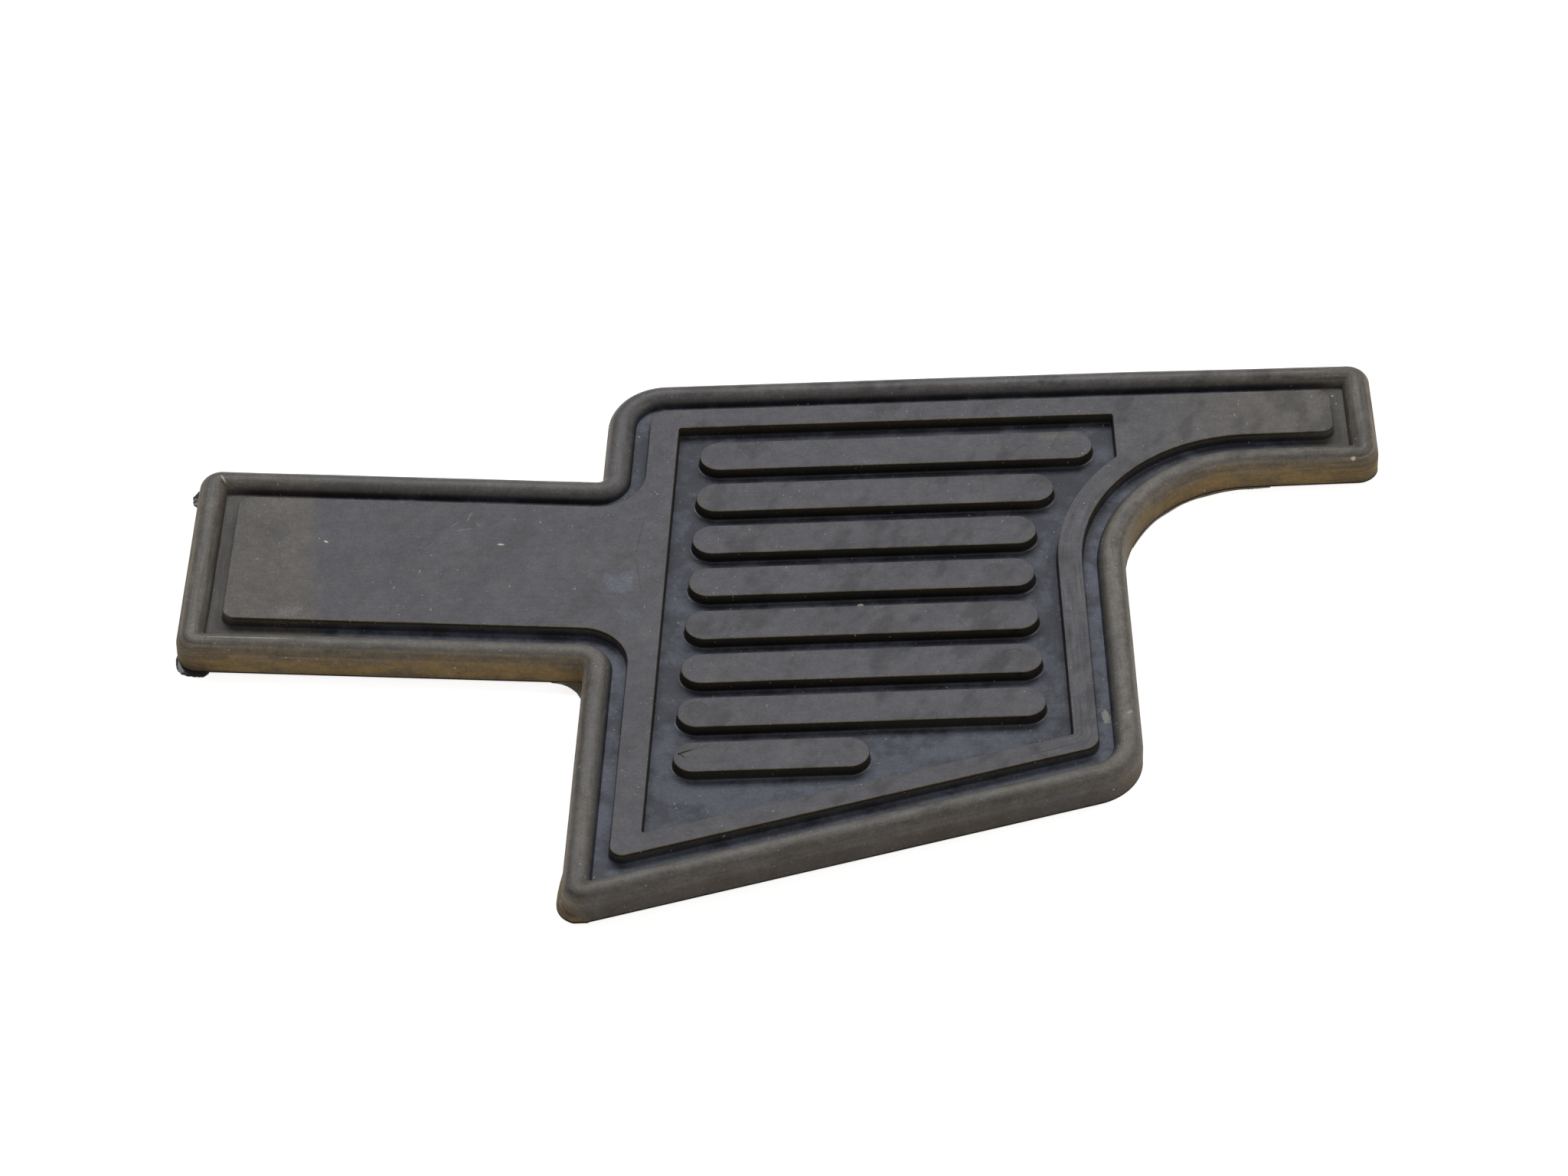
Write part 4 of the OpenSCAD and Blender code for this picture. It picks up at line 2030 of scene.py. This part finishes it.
    coat_rough: float = 0.16
    gloss: float = 0.4
    bump_depth: float = 0.00008

    def make(self) -> bpy.types.Material:
        """Makes the material.

        Returns:
            The material.
        """
        material = bpy.data.materials.new("pad_rubber")
        graph = Graph.of(material)
        skin = Skin.read(graph)
        tone = self.zones(skin)
        for layer in (self.outside, self.edges, self.handle):
            tone = layer(skin, tone)
        tone = graph.shade(tone, self.shade(skin))
        # The grain, which is drawn out along the outline on the right strip.
        height = skin.grain + 0.8 * graph.noise(skin.at, 1.3, 2.0)
        height = height + (0.4 + skin.strip) * skin.streaks
        bump = graph.add(
            "ShaderNodeBump", {},
            {"Strength": 0.6, "Distance": self.bump_depth, "Height": height},
        )
        # Dust and steep walls are matt, and the rounded feet of the ribs have a gloss.
        steep = skin.facing.fade(0.2, 0.85)
        foot = skin.z.fade(4.62, 4.85) * skin.facing.fade(0.985, 0.9995)
        foot = foot * skin.facing.step(0.55, 0.8) * skin.ribs * 0.8
        sheen = 0.46 + 0.16 * graph.noise(skin.at, 6.0) - 0.1 * skin.crown * (1.0 - skin.rub)
        sheen = sheen + 0.2 * skin.dust.most(steep * (1.0 - skin.crown))
        sheen = sheen + 0.35 * skin.z.fade(*self.flash_and_shadow_line_top)
        shader = graph.add("ShaderNodeBsdfPrincipled", {}, {
            "Base Color": tone,
            "Roughness": sheen - 0.3 * foot,
            "Normal": bump,
            "Coat Weight": foot,
            "Coat Roughness": self.coat_rough,
            "Specular IOR Level": self.gloss,
        })
        graph.place("ShaderNodeOutputMaterial", {}, {0: shader})
        return material

    def zones(self, skin: Skin) -> Wire:
        """Colours the rubber by its zone.

        Args:
            skin: What is known of each point.

        Returns:
            The colour.
        """
        graph, at, x, z = skin.graph, skin.at, skin.x, skin.z
        # The floors, with dark swirls, a bluish tint that is a painted reflection, and browner at
        # both ends.
        swirl = graph.noise(at, 7.0, 6.0, 0.66) - 0.06 * skin.y.step(-10.0, 45.0)
        swirl = swirl + 0.05 * skin.y.fade(-45.0, -10.0)
        sunk = graph.mix(swirl.step(0.4, 0.6), self.pool, self.sunk)
        ragged = x + 6.0 * (skin.clouds - 0.5)
        left = ragged.fade(self.loam_from - 1.6, self.loam_from + 2.0)
        sunk = graph.mix((left * 0.8).most(skin.end), sunk, self.moss)
        tone = graph.mix(z.step(*self.rise), sunk, self.top)
        # The bead's crown, rubbed light and soiled.
        band = z.step(6.2, 6.9) * (0.36 + 0.56 * graph.noise(at, 1.6, 4.0, 0.7)) * skin.rub
        soil = graph.noise(at, 3.0, 5.0, 0.7).step(0.35, 0.65)
        soil = soil * skin.rub.least(0.8).most(skin.end * 0.7)
        top = graph.mix(soil, self.crown, self.earth)
        tone = graph.mix(skin.crown, tone, graph.mix(band, top, self.band))
        # The brown film on the raised field.
        loam = left * 0.75 + ragged.step(*self.arm_film) * 0.8
        loam = loam.most(graph.noise(at, 5.0, 5.0, 0.7).step(0.5, 0.72) * 0.35)
        tone = graph.mix(loam * z.step(*self.rise), tone, self.loam)
        # The walls inside, black where they are steep and darker towards the bottom; in the pocket
        # the black runs on down the walls' rounded feet as painted shade.
        wall = graph.mix(z.step(5.0, 6.6) * (1.0 - 0.6 * skin.ribs), self.deep, self.bark)
        steep = skin.facing.fade(0.3, 0.96 + 0.035 * z.fade(5.0, 5.4) * (1.0 - skin.rim))
        share = (0.95 - 0.45 * skin.crown) * (1.0 - 0.85 * skin.end) * (1.0 - 0.4 * skin.rim)
        return graph.mix(steep * share, tone, wall)

    def outside(self, skin: Skin, tone: Wire) -> Wire:
        """Lays the outer wall's dust, with a painted highlight on its shoulder, and the bead's
        smudges over the colour.

        Args:
            skin: What is known of each point.
            tone: The colour below.

        Returns:
            The new colour.
        """
        graph, z, dust = skin.graph, skin.z, skin.dust
        # The dust lies in patches drawn out along the wall, thinner at its foot and its top.
        drawn = graph.drawn(skin.at, (0.32, 0.32, 0.75))
        patches = graph.noise(drawn, 3.0, 6.0, 0.68) + 0.06 * skin.x.step(62.0, 90.0)
        earth = graph.mix(patches.step(0.32, 0.68), self.umber, self.ochre)
        height = z + 5.0 * (0.5 - patches)
        band = (1.0 - 0.45 * z.fade(0.5, 2.0)) * (1.0 - 0.5 * height.step(3.2, 5.2))
        cover = (0.6 + 0.8 * skin.clouds) * (0.8 + 0.5 * skin.grain) * band
        # Under the patches, the wall is umber low down and lighter near its top: dust there, and a
        # painted highlight on the shoulder below the bead.
        under = graph.mix(height.step(3.2, 5.4), self.umber, self.dusty)
        tone = graph.mix(dust.step(0.0, 0.4), tone, under)
        tone = graph.mix((cover * dust.step(0.15, 0.9)).least(1.0), tone, earth)
        # Smudges along the wall's upper half and the crown.
        smudges = graph.noise(skin.drawn, 1.3, 4.0, 0.65).step(0.48, 0.72)
        place = skin.crown.most(dust.step(0.0, 0.4) * z.step(2.0, 5.0))
        return graph.mix(smudges * place * 0.5, tone, Tint.SOOT.value)

    def edges(self, skin: Skin, tone: Wire) -> Wire:
        """Lays the edges' wear with a painted highlight, and the flash's colours with painted light
        and shade, over the colour.

        Args:
            skin: What is known of each point.
            tone: The colour below.

        Returns:
            The new colour.
        """
        graph, z, facing = skin.graph, skin.z, skin.facing
        # Near-facing top edges: wear, with a painted highlight along them.
        edge = z.step(6.6, 6.85) * facing.step(0.2, 0.5) * facing.fade(0.95, 0.998)
        edge = edge * skin.away.fade(-0.3, 0.1) * (1.0 - skin.crown) * (1.0 - skin.dust)
        tone = graph.mix(edge * 0.6 * (0.5 + skin.clouds), tone, self.lit_worn_edge)
        # The flash's colour is painted lighter to make up for the wall's shade over it; the far tip
        # of the tongue's flash is dark.
        tip = skin.x.fade(*self.tip)
        scrap = graph.mix(tip, self.scrap, self.burnt)
        # Steep faces below the flash's top, the outer wall's foot among them, take the deep black:
        # a painted shadow line along the wall's foot.
        pale = facing.step(0.4, 0.8) * (1.0 - tip * skin.y.step(20.0, 24.0))
        scrap = graph.mix(pale, self.deep, scrap)
        return graph.mix(z.fade(*self.flash_and_shadow_line_top) * 0.9, tone, scrap)

    def handle(self, skin: Skin, tone: Wire) -> Wire:
        """Lays the marks of use, the specks and the fine dust over the colour.

        Args:
            skin: What is known of each point.
            tone: The colour below.

        Returns:
            The new colour.
        """
        graph, at = skin.graph, skin.at
        for tint in Tint:
            masks = (mark.mask(graph, at) for mark in self.marks if mark.tint is tint)
            tone = graph.mix(reduce(Wire.most, masks), tone, tint.value)
        # Specks and short scratches, with bent outlines.
        bend = graph.add("ShaderNodeTexNoise", {}, {"Vector": at, "Scale": 3.0}, "Color")
        bent = graph.vector("ADD", at, graph.scaled(bend, 0.5))
        specks = graph.specks(bent, 3.4, 0.3, 0.4)
        for layer in self.speck_layers:
            specks = specks.most(layer.mask(graph, bent))
        # Fine dust, mostly on the tongue's end and on the rubbed crown.
        left = skin.x.fade(self.loam_from - 4.0, self.loam_from + 4.0) * skin.z.step(*self.upper)
        dusted = left.most(0.8 * skin.rub.step(0.8, 1.0))
        settled = graph.noise(at, 5.0, 3.0).step(0.4, 0.65)
        dusting = graph.noise(at, 0.32, 2.0).step(0.6, 0.74) * (0.1 + 0.3 * dusted) * settled
        return graph.mix((specks * 0.6).most(dusting), tone, self.specks)

    def shade(self, skin: Skin) -> Wire:
        """Varies how light the rubber is, with painted light on the channel's floor.

        Args:
            skin: What is known of each point.

        Returns:
            The lightness, around 1.
        """
        graph, at, z = skin.graph, skin.at, skin.z
        brushed = graph.drawn(at, (0.06, 1.0, 1.0), 2.0)
        smears = graph.noise(graph.drawn(at, (0.55, 1.0, 0.5), 60.0), 6.0, 3.0)
        # Clouds, the brushing along the ribs, blotches and the grain.
        light = 1.03 + 0.5 * (skin.clouds - 0.5)
        light = light * (1.0 + 0.22 * (graph.noise(brushed, 0.4, 3.0) - 0.5))
        light = light * (0.5 + graph.noise(at, 2.2, 5.0, 0.75))
        light = light * (1.0 + 1.2 * (skin.grain - 0.5))
        # Streaks along the outline, and painted light on the channel's floor against the walls'
        # shadow.
        drawn = 0.25 + 1.4 * skin.strip + 1.4 * skin.end * skin.rim
        light = light * (1.0 + drawn * (skin.streaks - 0.5))
        light = light * (1.0 + 0.28 * skin.rim * z.fade(4.75, 5.1) * (1.0 - skin.end))
        # Dark smears across the ribs.
        place = z.step(*self.upper) * (0.13 + 0.28 * skin.x.step(-25.0, -10.0))
        return light * (1.0 - place * smears.step(0.5, 0.68))


@dataclass(frozen=True)
class PlateSteel:
    """Cold-rolled steel with a light brushed grain and a little tarnish."""

    bright: tuple = colour(150, 152, 154)
    dull: tuple = colour(104, 103, 100)
    rust: tuple = colour(112, 80, 56)
    bump_depth: float = 0.00005

    def make(self) -> bpy.types.Material:
        """Makes the material.

        Returns:
            The material.
        """
        material = bpy.data.materials.new("plate_steel")
        graph = Graph.of(material)
        at = graph.place_in_mm()
        brushed = graph.noise(graph.drawn(at, (0.02, 1.0, 1.0)), 0.5, 4.0)
        clouds = graph.noise(at, 22.0, 5.0)
        specks = graph.noise(at, 3.2, 6.0, 0.7).step(0.62, 0.74)
        tone = graph.mix(brushed * 0.5 + clouds * 0.5, self.dull, self.bright)
        tone = graph.mix(specks * 0.5, tone, self.rust)
        bump = graph.add(
            "ShaderNodeBump", {},
            {"Strength": 0.2, "Distance": self.bump_depth, "Height": brushed},
        )
        shader = graph.add("ShaderNodeBsdfPrincipled", {}, {
            "Base Color": tone,
            "Metallic": 0.9 - 0.6 * specks,
            "Roughness": 0.38 + 0.2 * clouds,
            "Normal": bump,
        })
        graph.place("ShaderNodeOutputMaterial", {}, {0: shader})
        return material


# --------------------------------------------------------------------------- studio


@dataclass(frozen=True)
class Viewpoint:
    """The camera.

    Attributes:
        place: Where it is, in metres.
        down: How far it looks down, in degrees.
        pan: How far it looks right of +Y, in degrees.
        roll: How far it is turned about its own axis, in degrees.
        lens: Its focal length, in mm.
        sensor: The width of its sensor, in mm.
        near: The distance from which it sees, in metres.
    """

    place: tuple[float, float, float] = (-0.02617069, -1.05184391, 1.03331629)
    down: float = 44.0075192
    pan: float = 1.3928283
    roll: float = 0.9475527
    lens: float = 173.4093
    sensor: float = 36.0
    near: float = 0.05

    def make(self) -> bpy.types.Object:
        """Adds the camera and makes it the scene's.

        Returns:
            The camera.
        """
        data = bpy.data.cameras.new("camera")
        data.lens, data.sensor_width, data.clip_start = self.lens, self.sensor, self.near
        camera = bpy.data.objects.new("camera", data)
        bpy.context.scene.collection.objects.link(camera)
        down, pan, roll = (math.radians(a) for a in (self.down, self.pan, self.roll))
        right = Vector((math.cos(pan), -math.sin(pan), 0.0))
        level = Vector((math.sin(pan), math.cos(pan), 0.0))
        ahead = level * math.cos(down) - Vector((0.0, 0.0, math.sin(down)))
        up = right.cross(ahead)
        turned_right = math.cos(roll) * right - math.sin(roll) * up
        turned_up = math.sin(roll) * right + math.cos(roll) * up
        axes = Matrix((turned_right, turned_up, -ahead)).transposed()
        camera.matrix_world = Matrix.Translation(self.place) @ axes.to_4x4()
        bpy.context.scene.camera = camera
        return camera


@dataclass(frozen=True)
class Lamp:
    """A soft rectangular lamp that points at the pedal.

    Attributes:
        name: Its name.
        place: Where it is, in metres.
        size: Its two sides, in metres.
        power: Its power, in watts.
        tint: Its colour.
    """

    name: str
    place: tuple[float, float, float]
    size: tuple[float, float]
    power: float
    tint: tuple[float, float, float] = (1.0, 1.0, 1.0)

    def make(self) -> None:
        """Adds the lamp."""
        data = bpy.data.lights.new(self.name, "AREA")
        data.shape, data.size, data.size_y = "RECTANGLE", *self.size
        data.energy, data.color = self.power, self.tint
        lamp = bpy.data.objects.new(self.name, data)
        lamp.location = self.place
        lamp.rotation_euler = (-Vector(self.place)).to_track_quat("-Z", "Y").to_euler()
        bpy.context.scene.collection.objects.link(lamp)


@dataclass
class Studio:
    """A white floor, soft lamps and a dim room.

    Attributes:
        lamps: The lamps.
        room: The colour of the room's even light.
        floor_size: The side of the floor, in metres.
        floor_z: The height of the floor, in mm.
        floor_paint: The colour of the floor.
        show_through: How bright the floor is by itself, where a ray sees it.
    """

    lamps: tuple[Lamp, ...] = (
        Lamp("window", (-0.05, 0.95, 1.15), (1.6, 0.6), 12.6, (0.95, 0.97, 1.0)),
        Lamp("fill", (0.95, 0.1, 0.75), (0.9, 0.9), 2.6, (1.0, 0.97, 0.93)),
        Lamp("front", (-0.1, -1.5, 0.45), (1.6, 0.5), 3.6, (1.0, 0.96, 0.9)),
    )
    room: tuple[float, float, float, float] = (0.17, 0.17, 0.17, 1.0)
    floor_size: float = 6.0
    floor_z: float = -0.05
    floor_paint: tuple[float, float, float, float] = (0.86, 0.86, 0.86, 1.0)
    show_through: float = 0.78

    def make_floor(self) -> None:
        """Adds the floor, which stays white around the pedal and keeps its shadow."""
        half = self.floor_size / 2 / MM
        signs = ((-1, -1), (1, -1), (1, 1), (-1, 1))
        corners = [Vector((x * half, y * half, self.floor_z)) for x, y in signs]
        floor = new_object("floor", corners, [(0, 1, 2, 3)])
        material = bpy.data.materials.new("floor")
        graph = Graph.of(material)
        matte = graph.add("ShaderNodeBsdfDiffuse", {}, {"Color": self.floor_paint})
        dark, glow = (
            graph.add("ShaderNodeEmission", {}, {"Color": shade, "Strength": 1.0})
            for shade in ((0.0, 0.0, 0.0, 1.0), (1.0, 1.0, 1.0, 1.0))
        )
        path = graph.place("ShaderNodeLightPath", {}, {})
        camera, glossy, through = (
            Wire(graph, path.outputs[name])
            for name in ("Is Camera Ray", "Is Glossy Ray", "Is Transmission Ray")
        )
        seen = (camera + glossy + through).least(1.0)
        lift = graph.add("ShaderNodeMixShader", {}, {0: seen * self.show_through, 1: dark, 2: glow})
        both = graph.add("ShaderNodeAddShader", {}, {0: matte, 1: lift})
        graph.place("ShaderNodeOutputMaterial", {}, {0: both})
        floor.data.materials.append(material)

    def make_room(self) -> None:
        """Gives the world a dim even light."""
        scene = bpy.context.scene
        scene.view_settings.view_transform = "Standard"
        world = bpy.data.worlds.new("room")
        graph = Graph.of(world)
        lit = graph.add("ShaderNodeBackground", {}, {"Color": self.room, "Strength": 1.0})
        graph.place("ShaderNodeOutputWorld", {}, {0: lit})
        scene.world = world

    def build(self) -> None:
        """Sets up the studio."""
        self.make_floor()
        self.make_room()
        for lamp in self.lamps:
            lamp.make()
        Viewpoint().make()


def report(piece: bpy.types.Object) -> None:
    """Logs a piece's name and its number of triangles."""
    piece.data.calc_loop_triangles()
    LOG.info("%s: %d triangles", piece.name, len(piece.data.loop_triangles))


def main() -> None:
    """Builds the pedal and its studio."""
    logging.basicConfig(level=logging.INFO, format="%(name)s: %(message)s")
    rubber = PadRubber().make()
    pieces = [PadBody().build(), Ribs().build(rubber), *Flash().build()]
    for piece in pieces:
        hand_over(piece, rubber)
        report(piece)
    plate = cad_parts["backing_plate"]
    plate.data.materials.clear()
    plate.data.materials.append(PlateSteel().make())
    report(plate)
    Studio().build()
    bpy.context.view_layer.update()


if __name__ == "__main__":
    main()
